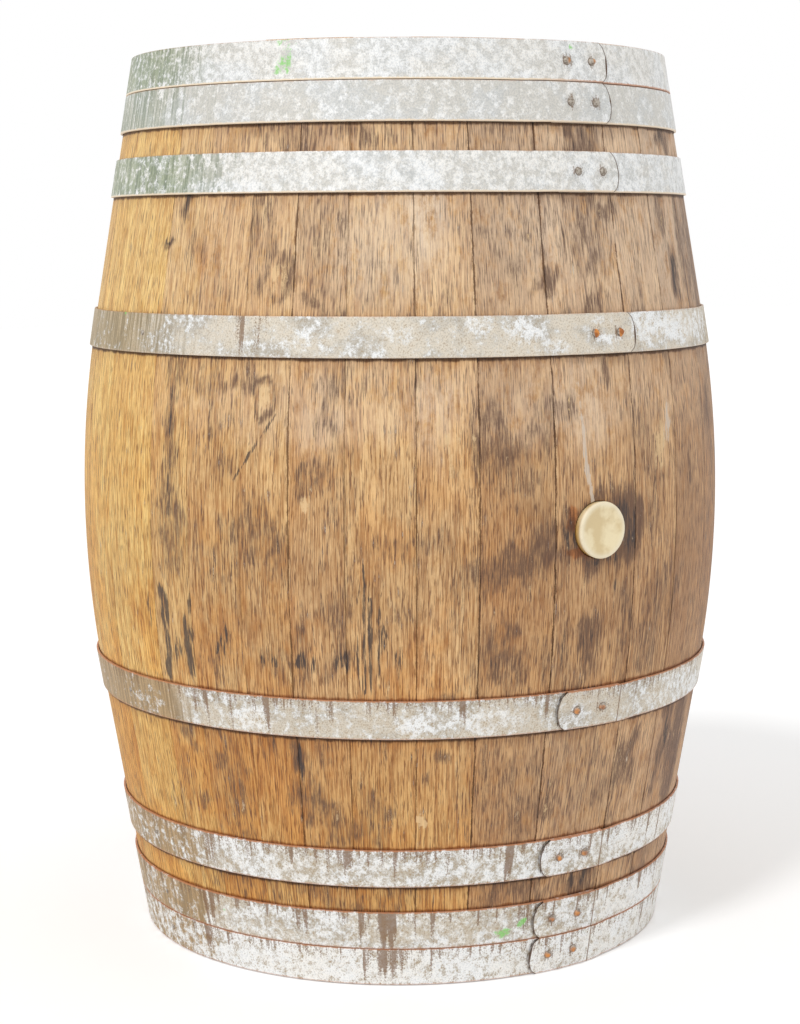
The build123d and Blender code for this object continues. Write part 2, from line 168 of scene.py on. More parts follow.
class Finish(Recipe):
    """One material under construction, with the colour that it has so far."""

    def __init__(self, name):
        self.material = bpy.data.materials.new(name)
        super().__init__(self.material)
        self.surface = self.tree.nodes["Principled BSDF"]
        self.colour = None

    def chart(self, name):
        """A number painted on the mesh points."""
        return self.add("ShaderNodeAttribute", {}, "Fac", attribute_name=name)

    def place_chart(self, name):
        """A place on the piece, kept on the mesh points as three lengths."""
        return self.add("ShaderNodeAttribute", {}, "Vector", attribute_name=name)

    def own_place(self):
        """A place in the piece's own coordinates."""
        return self.add("ShaderNodeTexCoord", {}, "Object")

    def times(self, a, b):
        return self.math("MULTIPLY", a, b)

    def plus(self, a, b):
        return self.math("ADD", a, b)

    def weigh(self, *pairs):
        """Sum of values times their weights."""
        total = None
        for value, weight in pairs:
            part = self.times(value, weight)
            total = part if total is None else self.plus(total, part)
        return total

    def step(self, value, low, high, most=1.0):
        """0 below low, the most above high and a smooth slope between."""
        return self.add(
            "ShaderNodeMapRange",
            {"Value": value, "From Min": low, "From Max": high, "To Max": most},
            interpolation_type="SMOOTHSTEP",
        )

    def noise(self, place, scale, detail=3.0, rough=0.55):
        """Noise with `scale` features per metre along each axis."""
        at = self.add("ShaderNodeVectorMath", {0: place, 1: scale}, operation="MULTIPLY")
        inputs = {"Vector": at, "Scale": 1.0, "Detail": detail, "Roughness": rough}
        return self.add("ShaderNodeTexNoise", inputs)

    def swing(self, noise, reach):
        """A noise made to swing to both sides of 0."""
        return self.times(self.plus(noise, -0.5), reach)

    def nudge(self, place, noise, reach):
        """Moves a place sideways, here more and there less."""
        offset = self.add("ShaderNodeCombineXYZ", {"X": self.swing(noise, reach)})
        return self.add("ShaderNodeVectorMath", {0: place, 1: offset}, operation="ADD")

    def blend(self, share, a, b, how="MIX"):
        """Colour a, with b laid over it by a share from 0 to 1."""
        node = self.tree.nodes.new("ShaderNodeMix")
        node.data_type = "RGBA"
        node.blend_type = how
        for place, value in ((0, share), (6, a), (7, b)):
            self.feed(node.inputs[place], value)
        return node.outputs[2]

    def lay(self, colour, share):
        """Lays a colour over the finish so far."""
        self.colour = self.blend(share, self.colour, colour)

    def tint(self, colour, share):
        """Multiplies the finish so far by a colour."""
        self.colour = self.blend(share, self.colour, colour, "MULTIPLY")

    def coat(self, roughness, height=None, depth=0.0, metal=0.0, gloss=0.5):
        """Wires the colour, roughness and bump into the surface and sets its two constants."""
        self.feed(self.surface.inputs["Base Color"], self.colour)
        self.feed(self.surface.inputs["Roughness"], roughness)
        if height is not None:
            bump = self.add("ShaderNodeBump", {"Height": height, "Distance": depth, "Strength": 1.0})
            self.feed(self.surface.inputs["Normal"], bump)
        self.surface.inputs["Metallic"].default_value = metal
        self.surface.inputs["Specular IOR Level"].default_value = gloss
        print(f"finish {self.material.name}: {len(self.tree.nodes)} nodes")
        return self.material


# %% [markdown]
# ## The studio
# The photograph has a plain white ground and soft, even light with one brighter side: rivets and bung
# throw small shadows down to the right. A bright sky all round gives the even part, and a wide sun from
# the upper left the rest. The floor adds a little white only where it is seen, by the camera or in a
# reflection, so it reads as white paper and still keeps the barrel's shadow, and hardly any extra light
# falls on the wood.

# %% Sky, sun and floor
SKY_STRENGTH = 0.74
SUN_STRENGTH = 0.95
SUN_WIDTH = math.radians(10)
SUN_LEFT_OF_CAMERA = 33
SUN_HEIGHT = 50
WHITE = (1, 1, 1)
FLOOR_HALF_SIZE = 14
FLOOR_WHITE = (0.93, 0.93, 0.93)
FLOOR_ROUGHNESS = 0.9
FLOOR_CAMERA_LIFT = 0.2


def seen_directly(recipe):
    """1 for the camera, mirror and glass rays that show the background, and 0 for rays that light."""
    ray = recipe.tree.nodes.new("ShaderNodeLightPath").outputs
    shown = recipe.math("MAXIMUM", ray["Is Camera Ray"], ray["Is Glossy Ray"])
    return recipe.math("MAXIMUM", shown, ray["Is Transmission Ray"])


def make_sky():
    world = bpy.data.worlds.new("studio_sky")
    bpy.context.scene.world = world
    sky = Recipe(world)
    sky.tree.nodes.clear()
    lighting = sky.add("ShaderNodeBackground", {"Strength": SKY_STRENGTH, "Color": WHITE})
    backdrop = sky.add("ShaderNodeBackground", {"Color": WHITE})
    either = sky.add("ShaderNodeMixShader", {0: seen_directly(sky), 1: lighting, 2: backdrop})
    sky.feed(sky.tree.nodes.new("ShaderNodeOutputWorld").inputs["Surface"], either)


def make_sun():
    sun = bpy.data.lights.new("soft_sun", "SUN")
    sun.energy = SUN_STRENGTH
    sun.angle = SUN_WIDTH
    lamp = bpy.data.objects.new("soft_sun", sun)
    turn = Matrix.Rotation(math.radians(EYE_BEARING - SUN_LEFT_OF_CAMERA), 4, "Z")
    lamp.matrix_world = turn @ Matrix.Rotation(math.radians(90 - SUN_HEIGHT), 4, "X")
    bpy.context.scene.collection.objects.link(lamp)


def make_floor():
    finish = Finish("white_paper")
    finish.colour = FLOOR_WHITE
    finish.coat(FLOOR_ROUGHNESS, gloss=0.0)
    glow = {"Strength": seen_directly(finish), "Color": (FLOOR_CAMERA_LIFT,) * 3}
    lift = finish.add("ShaderNodeEmission", glow)
    both = finish.add("ShaderNodeAddShader", {0: finish.surface.outputs[0], 1: lift})
    finish.feed(finish.tree.nodes["Material Output"].inputs["Surface"], both)
    mesh = bpy.data.meshes.new("floor")
    size = FLOOR_HALF_SIZE
    corners = [(-size, -size, 0), (size, -size, 0), (size, size, 0), (-size, size, 0)]
    mesh.from_pydata(corners, [], [(0, 1, 2, 3)])
    mesh.materials.append(finish.material)
    floor = bpy.data.objects.new("floor", mesh)
    bpy.context.scene.collection.objects.link(floor)


make_sky()
make_sun()
make_floor()
bpy.context.scene.view_settings.view_transform = "Standard"
print(f"sky {SKY_STRENGTH}, sun {SUN_STRENGTH} from {SUN_HEIGHT} degrees up")

# %% [markdown]
# ## Oak
# Oak splits along long fibres. Up close one sees thin pale and dark threads, slow bands where the growth
# rings meet the surface, and short dark pores like pencil strokes. Weather adds blotches and streaks.
# Five noises, stretched along the board by very different amounts, give those five. A slow sixth one
# bends all but the blotches, because no board's grain is quite straight. A wave texture would do the
# rings too, but it repeats too neatly.

# %% Grain of an oak board
GRAIN_BEND = 30 * MM


def oak_figure(finish, place):
    """Fibres, bands, blotches, pores and streaks. A place runs across the board in x and along it in y."""
    drift = finish.noise(place, (5.0, 1.3, 1.0), detail=2.0)
    bent = finish.nudge(place, drift, GRAIN_BEND)
    fibre = finish.noise(bent, (820, 26, 1.0), detail=2.0, rough=0.6)
    bands = finish.noise(bent, (95, 3.2, 1.0), detail=4.0, rough=0.6)
    blotch = finish.noise(place, (62, 34, 1.0), detail=8.0, rough=0.76)
    pores = finish.noise(bent, (780, 60, 1.0), detail=2.0)
    streaks = finish.noise(bent, (150, 15, 1.0), detail=7.0, rough=0.74)
    return fibre, bands, blotch, pores, streaks


# %% [markdown]
# ## Weathered staves
# The photographed staves run from bright honey on the left to grey-brown on the right. Wine, rain and
# handling left brown clouds, black streaks low on the bilge, a burnt ring round the bung and a few pale
# scrapes. Just right of the bung a painted shadow of the bung darkens the wood as well. Each of these is a
# chart on the mesh, so the recipe only has to say what a stain or a painted shadow does to oak.
# A stain soaks in unevenly along the grain, so most charts are mixed with some of the grain's noises and
# then cut off at a threshold.

# %% Finish of the staves
TAN_LIGHT, TAN_DARK = (0.87, 0.555, 0.304), (0.51, 0.277, 0.134)
HONEY_LIGHT, HONEY_DARK = (1.0, 0.71, 0.265), (0.70, 0.38, 0.10)
MOTTLE_TINT = (0.74, 0.66, 0.59)
GOLD_TINT = (0.95, 0.78, 0.565)
BLEACHED = (0.94, 0.79, 0.62)
LOW_TINT = (0.86, 0.75, 0.63)
PORE_TINT = (0.42, 0.33, 0.27)
GREY_TINT = (0.84, 0.83, 0.84)
CLOUD = (0.125, 0.066, 0.045)
SOOT_AND_SHADOW = (0.056, 0.044, 0.042)
SCRAPE = (0.86, 0.60, 0.32)
LIME = (0.74, 0.64, 0.53)
RUST_TINT = (0.84, 0.58, 0.42)
SEAM_TINT = (0.13, 0.07, 0.045)
SHADE_TINT = (0.13, 0.085, 0.06)
RUST_LINE = (0.42, 0.21, 0.11)
DEEP_TINT = (0.60, 0.49, 0.42)


def weathered_oak():
    finish = Finish("weathered_oak")
    place = finish.place_chart("grain")
    fibre, bands, blotch, pores, streaks = oak_figure(finish, place)
    tone = finish.step(finish.weigh((fibre, 0.85), (bands, 0.15)), 0.43, 0.56)
    tan = finish.blend(tone, TAN_DARK, TAN_LIGHT)
    honey = finish.blend(tone, HONEY_DARK, HONEY_LIGHT)
    finish.colour = finish.blend(finish.chart("honey"), tan, honey)
    finish.tint(DEEP_TINT, finish.chart("deep"))
    mottle = finish.weigh((blotch, 0.5), (streaks, 0.5))
    finish.tint(MOTTLE_TINT, finish.step(mottle, 0.56, 0.44, 0.62))
    finish.tint(PORE_TINT, finish.step(pores, 0.54, 0.64, 0.8))
    golden = finish.step(finish.noise(place, (10, 6, 1.0), detail=6.0, rough=0.65), 0.45, 0.56)
    finish.tint(GOLD_TINT, finish.times(golden, finish.chart("gold")))
    grey = finish.step(finish.noise(place, (9, 4, 1.0), detail=5.0, rough=0.65), 0.46, 0.58)
    not_honey = finish.plus(finish.times(finish.chart("honey"), -1.0), 1.0)
    finish.tint(GREY_TINT, finish.times(grey, not_honey))
    finish.lay(BLEACHED, finish.times(finish.chart("bleached"), finish.step(blotch, 0.28, 0.56)))
    finish.tint(LOW_TINT, finish.chart("low"))

    # the cloud and soot charts also hold the painted shadow just right of the bung
    clouds = finish.weigh((pores, 0.35), (streaks, 0.35), (blotch, 0.45), (finish.chart("cloud"), 0.2))
    finish.lay(CLOUD, finish.step(clouds, 0.60, 0.79, 0.84))
    rust = finish.plus(finish.chart("rust"), finish.times(fibre, 0.6))
    finish.tint(RUST_TINT, finish.step(rust, 0.45, 1.1))
    soot = finish.weigh((streaks, 0.7), (pores, 0.3), (finish.chart("soot"), 0.22))
    finish.lay(SOOT_AND_SHADOW, finish.step(soot, 0.60, 0.69, 0.85))
    scrape = finish.weigh((streaks, 0.5), (blotch, 0.5), (finish.chart("scrape"), 0.2))
    finish.lay(SCRAPE, finish.step(scrape, 0.585, 0.65, 0.75))
    lime = finish.weigh((pores, 0.4), (blotch, 0.6), (finish.chart("lime"), 0.22))
    finish.lay(LIME, finish.step(lime, 0.61, 0.69, 0.7))

    unevenly = finish.swing(blotch, 8.0)
    to_seam = finish.plus(finish.chart("to_seam"), unevenly)
    finish.tint(SEAM_TINT, finish.times(finish.step(to_seam, 1.1, 0.5), finish.chart("joint")))
    under = finish.plus(finish.chart("under_hoop"), unevenly)
    # below each hoop: a broad band of grime, and right under its lower edge a thin painted shadow
    finish.tint(DEEP_TINT, finish.step(under, 15.0, 0.0, 0.4))
    finish.tint(SHADE_TINT, finish.step(under, 4.2, 1.6, 0.88))
    over = finish.plus(finish.chart("over_hoop"), unevenly)
    finish.tint(RUST_LINE, finish.step(over, 3.4, 0.8, 0.7))

    roughness = finish.plus(finish.weigh((fibre, 0.25), (blotch, 0.1)), 0.45)
    height = finish.weigh((fibre, 0.8), (bands, 0.4), (pores, -0.4))
    return finish.coat(roughness, height, 0.7 * MM, gloss=0.3)


staves_outside = weathered_oak()

# %% [markdown]
# The joints between staves and the inside of the barrel never saw the weather. Inside, the cooper toasts
# the wood over a fire, so it is dark brown. The stave ends show end grain: rings as fine curved lines,
# dotted with open pores, grey from standing on wet ground.

# %% Finishes of the stave joints and ends
TOAST_DARK, TOAST_LIGHT = (0.10, 0.055, 0.028), (0.23, 0.13, 0.065)
END_DARK, END_LIGHT = (0.30, 0.20, 0.12), (0.52, 0.38, 0.25)
END_DAMP = (0.55, 0.53, 0.50)


def toasted_oak():
    finish = Finish("toasted_oak")
    fibre, bands, _, pores, _ = oak_figure(finish, finish.place_chart("grain"))
    tone = finish.step(finish.weigh((bands, 0.5), (fibre, 0.5)), 0.42, 0.58)
    finish.colour = finish.blend(tone, TOAST_DARK, TOAST_LIGHT)
    height = finish.weigh((fibre, 0.7), (pores, -0.4))
    return finish.coat(finish.plus(finish.times(fibre, 0.2), 0.6), height, 0.5 * MM)


def end_grain():
    finish = Finish("oak_end_grain")
    place = finish.own_place()
    rings = finish.noise(place, (90, 90, 20), detail=3.0)
    pores = finish.step(finish.noise(place, (900, 900, 60), detail=1.0), 0.56, 0.66)
    damp = finish.step(finish.noise(place, (16, 16, 8), detail=4.0), 0.38, 0.62)
    finish.colour = finish.blend(finish.step(rings, 0.35, 0.65), END_DARK, END_LIGHT)
    finish.tint(PORE_TINT, pores)
    finish.tint(END_DAMP, damp)
    return finish.coat(0.8, finish.weigh((rings, 0.5), (pores, -1.0)), 0.6 * MM)


staves_inside = toasted_oak()
staves_ends = end_grain()

# %% [markdown]
# ## Where the stains lie
# A chart is made of soft oval marks. Each one has a bearing, a height in millimetres, half a width, half
# a height and a strength. They were set down stave by stave, as a restorer would when matching a finish.
# The side that the photograph doesn't show gets marks of the same kinds from a seeded generator.

# %% Soft marks on the barrel's side
MM_PER_DEGREE = math.radians(BILGE_RADIUS / MM)
HIDDEN_BEARINGS = (48, 238)
MARK_EDGE = 1.5
RING_MIDDLE, RING_HALF = 1.45, 0.55
BROAD_TEAR, FINE_TEAR, LEAST_TEAR = 14, 8, 5


def smooth(share):
    share = np.clip(share, 0, 1)
    return share * share * (3 - 2 * share)


def wander(seed, across, height, size):
    """Smooth random field from -1 to 1 with features of about `size` millimetres."""
    cells = 64
    field = np.random.default_rng(seed).uniform(-1, 1, (cells, cells))
    u, v = across / size % cells, height / size % cells
    i, j = u.astype(int), v.astype(int)
    a, b = smooth(u - i), smooth(v - j)
    low = field[i % cells, j % cells] * (1 - a) + field[(i + 1) % cells, j % cells] * a
    high = field[i % cells, (j + 1) % cells] * (1 - a) + field[(i + 1) % cells, (j + 1) % cells] * a
    return low * (1 - b) + high * b


def torn(bearing, height, reach):
    """The same places, shifted here and there by up to `reach` millimetres, to tear the edges of marks."""
    across = bearing * MM_PER_DEGREE
    sideways = wander(1, across, height, 34) + 0.6 * wander(2, across, height, 13)
    upright = wander(3, across, height, 40) + 0.7 * wander(4, across, 0.4 * height, 7)
    return bearing + 0.5 * reach * sideways / MM_PER_DEGREE, height + reach * upright


def spot(far):
    """Strength of a mark, so many of its half sizes from its middle."""
    return smooth(MARK_EDGE - far)


def knot_ring(far):
    """Strength of a dark rim round a mark, as round a knot."""
    return smooth(1 - np.abs(far - RING_MIDDLE) / RING_HALF)


def marked(bearing, height, marks, reach=BROAD_TEAR, shape=spot):
    """Strength of a stain at each point. Heights are in millimetres."""
    bearing, height = torn(bearing, height, reach)
    strength = np.zeros(len(height))
    for middle, level, wide, tall, most in marks:
        across = turned_from(bearing, middle) * MM_PER_DEGREE
        far = np.hypot(across / wide, (height - level) / tall)
        strength = np.maximum(strength, most * shape(far))
    return strength


def scored(bearing, height, lines):
    """Strength of thin straight marks: two ends, half a width in millimetres and a strength."""
    strength = np.zeros(len(height))
    for (start, low), (stop, high), wide, most in lines:
        run = np.array([turned_from(stop, start) * MM_PER_DEGREE, high - low])
        at = np.stack([turned_from(bearing, start) * MM_PER_DEGREE, height - low], axis=1)
        share = np.clip(at @ run / (run @ run), 0, 1)
        far = np.linalg.norm(at - share[:, None] * run, axis=1) / wide
        strength = np.maximum(strength, most * spot(far))
    return strength


def stray(seed, count, *spans):
    """Marks of one kind at random, each with one number from every span in turn."""
    draw = np.random.default_rng(seed)
    return [tuple(draw.uniform(*span) for span in spans) for _ in range(count)]


# %% Brown clouds, and the bung's painted shadow
CLOUDS_AND_BUNG_SHADOW = [
    # between the two bilge hoops, from the left edge to the bung
    (-74.6, 625, 22, 18, 0.6), (-65.8, 612, 60, 11, 0.7), (-57.6, 606, 24, 14, 0.5),
    (-75.5, 540, 11, 110, 0.7), (-75.1, 468, 18, 50, 0.7), (-59, 466, 45, 24, 0.62),
    (-61.9, 440, 70, 22, 0.35), (-43.4, 511, 16, 30, 0.4), (-34.6, 459, 24, 18, 0.5),
    (-41.4, 541, 30, 15, 0.3), (-36, 622, 80, 22, 0.4), (-49.4, 519, 12, 14, 0.7),
    (-44.4, 470, 25, 60, 0.25),
    (-55.7, 342, 20, 12, 0.6), (-50.2, 341, 14, 16, 0.8), (-43.4, 345, 16, 14, 0.7),
    (-18, 547, 30, 34, 0.75), (-13.2, 555, 40, 24, 0.5), (-15.1, 515, 45, 24, 0.45),
    (-9.9, 458, 20, 34, 0.85), (-15.1, 437, 28, 20, 0.8), (-19.6, 425, 28, 18, 0.65),
    (-22.4, 434, 20, 30, 0.45), (-28.8, 469, 22, 18, 0.55), (-13.2, 480, 60, 90, 0.3),
    # round the bung and right of it; the dark mark just right of the bung is painted shadow of the bung
    # over the burnt stain
    (0.5, 465, 46, 40, 1.15), (7.0, 460, 21, 38, 1.2), (12.2, 520, 30, 90, 0.4),
    (17.1, 386, 40, 40, 0.6), (13.2, 348, 36, 36, 0.5), (24.9, 560, 40, 130, 0.34),
    (30.7, 480, 50, 190, 0.36), (39.5, 450, 60, 240, 0.45), (-1.2, 352, 20, 30, 0.95),
    (-17.9, 356, 20, 30, 0.8), (-6.7, 355, 10, 36, 0.7), (6.4, 362, 12, 40, 0.6),
    # between the upper quarter and bilge hoops
    (-76.5, 785, 8, 20, 0.9), (-80.4, 751, 14, 5, 0.7), (-72.4, 747, 16, 25, 0.45),
    (-60.2, 775, 8, 30, 0.7), (-56.9, 778, 8, 20, 0.6), (-56.9, 752, 12, 16, 0.6),
    (-53.6, 715, 12, 25, 0.7), (-59, 708, 8, 22, 0.6), (-46.3, 740, 40, 60, 0.45),
    (-49.2, 695, 18, 10, 0.6), (-45.3, 775, 36, 20, 0.4), (-14.1, 760, 56, 50, 0.42),
    (-9.2, 781, 36, 20, 0.45), (1.3, 754, 36, 36, 0.62), (-6.8, 722, 14, 14, 0.85),
    (-9.5, 706, 20, 10, 0.65), (1.9, 698, 14, 12, 0.65), (4.4, 790, 60, 15, 0.7),
    (23.5, 778, 16, 30, 0.65), (27.2, 715, 12, 40, 0.95), (33.6, 740, 22, 80, 0.7),
    (14.2, 740, 30, 60, 0.3), (41.4, 745, 40, 90, 0.75),
    # between the upper collar and quarter hoops
    (-50.2, 854, 110, 16, 0.6), (-35.6, 854, 40, 16, 0.4), (-14.1, 854, 55, 16, 0.5),
    (2.5, 853, 26, 16, 0.9), (12.2, 853, 30, 16, 0.3), (30.7, 855, 34, 16, 0.8),
    # between the lower bilge and quarter hoops
    (-75.3, 250, 12, 15, 0.7), (-77.5, 222, 10, 12, 0.5), (-67.4, 240, 16, 20, 0.8),
    (-73.6, 192, 26, 8, 0.6), (-63.7, 232, 10, 26, 0.5), (-51.6, 235, 8, 26, 1.0),
    (-56.6, 248, 20, 20, 0.5), (-47, 245, 14, 26, 0.5), (-50, 190, 30, 18, 0.7),
    (-37.8, 188, 20, 15, 0.6), (-27.1, 240, 10, 10, 0.7), (-9.2, 185, 30, 20, 0.65),
    (-14.1, 215, 60, 46, 0.45), (5.2, 190, 14, 14, 0.7), (-1.4, 215, 60, 50, 0.45),
    (23.9, 225, 14, 50, 0.95), (25.5, 256, 14, 20, 0.7), (31.5, 215, 34, 70, 1.0),
    # between the lower quarter and collar hoops
    (-59.9, 92, 110, 14, 0.45), (-43.4, 92, 90, 16, 0.55), (-11.2, 92, 50, 16, 0.65),
    (3.4, 98, 30, 12, 0.9), (21.9, 95, 60, 16, 0.5),
]
CLOUDS_AND_BUNG_SHADOW += stray(11, 70, HIDDEN_BEARINGS, (60, 890), (8, 50), (12, 60), (0.3, 0.85))
print(len(CLOUDS_AND_BUNG_SHADOW), "clouds")

# %% [markdown]
# Black marks are narrow and upright, since dirty water runs down the grain. The long lines on one stave
# are checks, fine cracks that soot has filled. Scrapes are where something rubbed the grey surface off,
# bleached marks are where sun and rain paled the wood, and lime is a drip that dried white.

# %% Soot, the bung's painted shadow, scratches, scrapes and rust on the oak
SOOT_AND_BUNG_SHADOW_MARKS = [
    (-77.9, 399, 5, 16, 0.9), (-81.9, 377, 5, 20, 0.8), (-77.6, 365, 6, 45, 1.0),
    (-77.5, 330, 6, 20, 0.9), (-72.1, 347, 8, 30, 1.0), (-74.9, 341, 6, 16, 0.7),
    (-71.6, 389, 4, 25, 0.6), (-72, 417, 4, 15, 0.5), (-64.8, 360, 4, 18, 0.5),
    (-55.7, 342, 12, 9, 0.6), (-50.4, 341, 9, 14, 0.9), (-47.8, 334, 5, 12, 0.6),
    (-43.5, 345, 10, 10, 0.8), (-42.4, 332, 4, 12, 0.55), (-37, 366, 6, 22, 0.6),
    (-34.9, 341, 4, 20, 0.6), (-75.7, 590, 5, 36, 0.4), (-75.4, 500, 5, 30, 0.5),
    (-76.7, 789, 5, 14, 0.8), (-76.7, 774, 4, 8, 0.6), (-80.5, 751, 8, 3, 0.7),
    (27.2, 712, 8, 30, 0.8), (24.1, 222, 8, 36, 0.7), (-51.6, 235, 5, 20, 0.6),
    (3.4, 101, 22, 6, 0.6), (2.5, 853, 16, 10, 0.5), (29.8, 855, 14, 10, 0.7),
    (-0.1, 304, 20, 4, 0.95), (4.4, 306, 12, 3, 0.7), (-1.2, 352, 10, 20, 0.5),
    (-6.7, 350, 4, 36, 0.5), (-7.2, 330, 4, 40, 0.5), (-17.9, 352, 8, 20, 0.4),
    # round the bung: the burnt ring, and just right of it marks that are painted shadow of the bung as well
    # as soot
    (6.6, 462, 8, 24, 0.75), (-5.3, 468, 9, 20, 0.7), (1, 438, 26, 7, 0.6), (0.2, 467, 31, 31, 0.6),
    (5.6, 468, 10, 26, 0.8), (7.6, 456, 9, 22, 0.6),
]
SOOT_AND_BUNG_SHADOW_MARKS += stray(12, 34, HIDDEN_BEARINGS, (310, 420), (3, 9), (12, 45), (0.5, 1.0))
SOOT_AND_BUNG_SHADOW_MARKS += stray(13, 14, HIDDEN_BEARINGS, (150, 840), (4, 9), (10, 36), (0.4, 0.8))

SOOT_LINES = [
    ((-54.5, 584), (-62, 519), 1.8, 0.85), ((-64.4, 372), (-66.3, 345), 2.0, 0.6),
    ((-39.9, 440), (-40, 312), 2.0, 1.0), ((-38.9, 410), (-39, 308), 1.8, 0.9),
    ((-37.7, 415), (-37.7, 330), 1.7, 0.75), ((-41, 420), (-41, 330), 1.6, 0.7),
    ((-75.5, 620), (-75.5, 480), 2.0, 0.55), ((4, 415), (3.4, 330), 1.8, 0.45),
]
KNOTS = [(-56.3, 601, 7, 15, 1.0), (-49.2, 501, 4, 9, 0.55), (-55.1, 715, 9, 17, 0.6)]
SCRAPES = KNOTS + [(-30.7, 183, 8, 5, 0.95), (15.1, 545, 10, 30, 0.45), (-26.1, 553, 24, 36, 0.25)]
SCRAPES += stray(14, 16, HIDDEN_BEARINGS, (160, 800), (3, 9), (4, 20), (0.4, 0.9))
BLEACHED_MARKS = [
    (-37, 745, 50, 60, 0.2), (-10, 765, 40, 40, 0.12), (-29.5, 775, 26, 50, 0.38),
    # the first mark is a wide pale band across the front staves, just above the bung
    (-33, 594, 270, 36, 0.18), (-46.5, 585, 30, 45, 0.3), (-29.5, 585, 26, 40, 0.34),
    (-4, 590, 40, 40, 0.26),
]
LIME_MARKS = [(18.1, 570, 7, 22, 0.7)]
LIME_LINES = [((-3.4, 612), (-2.4, 530), 2.2, 0.9), ((-2.4, 530), (-1.0, 490), 2.6, 1.0)]
RUST_MARKS = [
    (-4.6, 447, 16, 9, 0.9), (-4.4, 486, 6, 8, 1.0), (-55.3, 722, 12, 28, 0.25), (-71.6, 735, 14, 30, 0.4),
]
print(len(SOOT_AND_BUNG_SHADOW_MARKS), "soot marks,", len(SCRAPES), "scrapes")

# %% [markdown]
# Every stave came from its own plank, so each has its own tone. Honey says how golden it is and deep how
# dark. Bands along the hoops are the same for all: rust water tints the wood above a low hoop, where rain
# stands on the edge, grime darkens a band below each one, and a thin painted shadow lies right under it.

# %% Tone of each stave
STAVE_COUNT = 30
STAVE_HONEY = {
    20: 0.7, 21: 0.9, 22: 1.0, 23: 0.95, 24: 0.6, 25: 0.45, 26: 0.4, 27: 0.3, 28: 0.35,
    29: 0.3, 30: 0.25, 1: 0.2, 2: 0.15, 3: 0.1, 4: 0.1,
}
STAVE_DEEP = {
    20: 0.1, 21: 0.05, 22: 0.0, 23: 0.0, 24: 0.1, 25: 0.12, 26: 0.12, 27: 0.2, 28: 0.1,
    29: 0.0, 30: 0.38, 1: 0.28, 2: 0.2, 3: 0.4, 4: 0.5,
}
# How dark the joint on the left of each stave is
PLAIN_JOINT = 0.75
JOINT_DARK = {
    23: 0.1, 24: 0.1, 25: 0.1, 26: 0.15, 27: 0.6, 28: 0.28, 29: 0.5, 30: 0.7, 1: 0.8, 2: 0.75, 3: 0.5,
}
stave_draw = np.random.default_rng(5)
for stave_number in range(1, STAVE_COUNT + 1):
    drawn_honey, drawn_deep = stave_draw.uniform(0.1, 0.6), stave_draw.uniform(0.05, 0.5)
    STAVE_HONEY.setdefault(stave_number, drawn_honey)
    STAVE_DEEP.setdefault(stave_number, drawn_deep)
print(len(STAVE_HONEY), "stave tones")

# %% Numbers kept on the points of a piece
def set_charts(piece, **charts):
    for name, values in charts.items():
        is_place = values.ndim == 2
        layer = piece.data.attributes.new(name, "FLOAT_VECTOR" if is_place else "FLOAT", "POINT")
        layer.data.foreach_set("vector" if is_place else "value", values.astype(np.float32).ravel())


def points_of(piece):
    flat = np.zeros(len(piece.data.vertices) * 3, np.float32)
    piece.data.vertices.foreach_get("co", flat)
    return flat.reshape(-1, 3).astype(float)


def rising(value, low, high):
    """0 up to low, 1 from high on and a smooth slope between."""
    return smooth((value - low) / (high - low))


def falling(value, low, high):
    """1 up to low, 0 from high on and a smooth slope between."""
    return smooth((high - value) / (high - low))


# %% [markdown]
# Other tones change with height on every stave. The wood is darker in a band below the bung, and paler
# near the top and on the right, where it bleached. Honey staves bleached less.

# %% Charts of tone
# Pairs of heights in millimetres between which a tone fades in or out
LOW_HONEY_FADE = (70, 330)
DARK_BAND_FOOT, DARK_BAND_TOP = (320, 380), (420, 510)
GOLD_FADE = (360, 620)
TOP_BLEACH, RIGHT_BLEACH, FOOT_BLEACH = (560, 760), (490, 610), (240, 300)
LOW_FADE = (240, 320)
BELOW_BUNG_DARKENING = 0.24
LEAST_HONEY = 0.25
RIGHT_BEARING, RIGHT_FADE = -32, (0, 30)


def chart_tones(piece, number, bearing, height, dull):
    """How golden, dark and faded a stave is."""
    honey = STAVE_HONEY[number]
    low_honey = 0.35 * falling(height, *LOW_HONEY_FADE) * (honey > LEAST_HONEY)
    darker_band = BELOW_BUNG_DARKENING * falling(height, *DARK_BAND_TOP) * rising(height, *DARK_BAND_FOOT)
    right = rising(turned_from(bearing, RIGHT_BEARING), *RIGHT_FADE)
    faded = 0.06 + 0.3 * rising(height, *TOP_BLEACH) + 0.14 * right * rising(height, *RIGHT_BLEACH)
    faded = faded + 0.15 * right * falling(height, *FOOT_BLEACH)
    faded = faded * dull + marked(bearing, height, BLEACHED_MARKS)
    set_charts(
        piece,
        honey=np.clip(honey + low_honey, 0, 1),
        deep=STAVE_DEEP[number] + darker_band,
        gold=(0.3 + 0.6 * falling(height, *GOLD_FADE)) * (1 - 0.8 * right),
        bleached=np.clip(faded, 0, 1),
        low=falling(height, *LOW_FADE) * (1 - 0.85 * right) * (0.4 + 0.6 * dull),
    )


# %% Charts of stains
CLEAN_TOP = (670, 730)


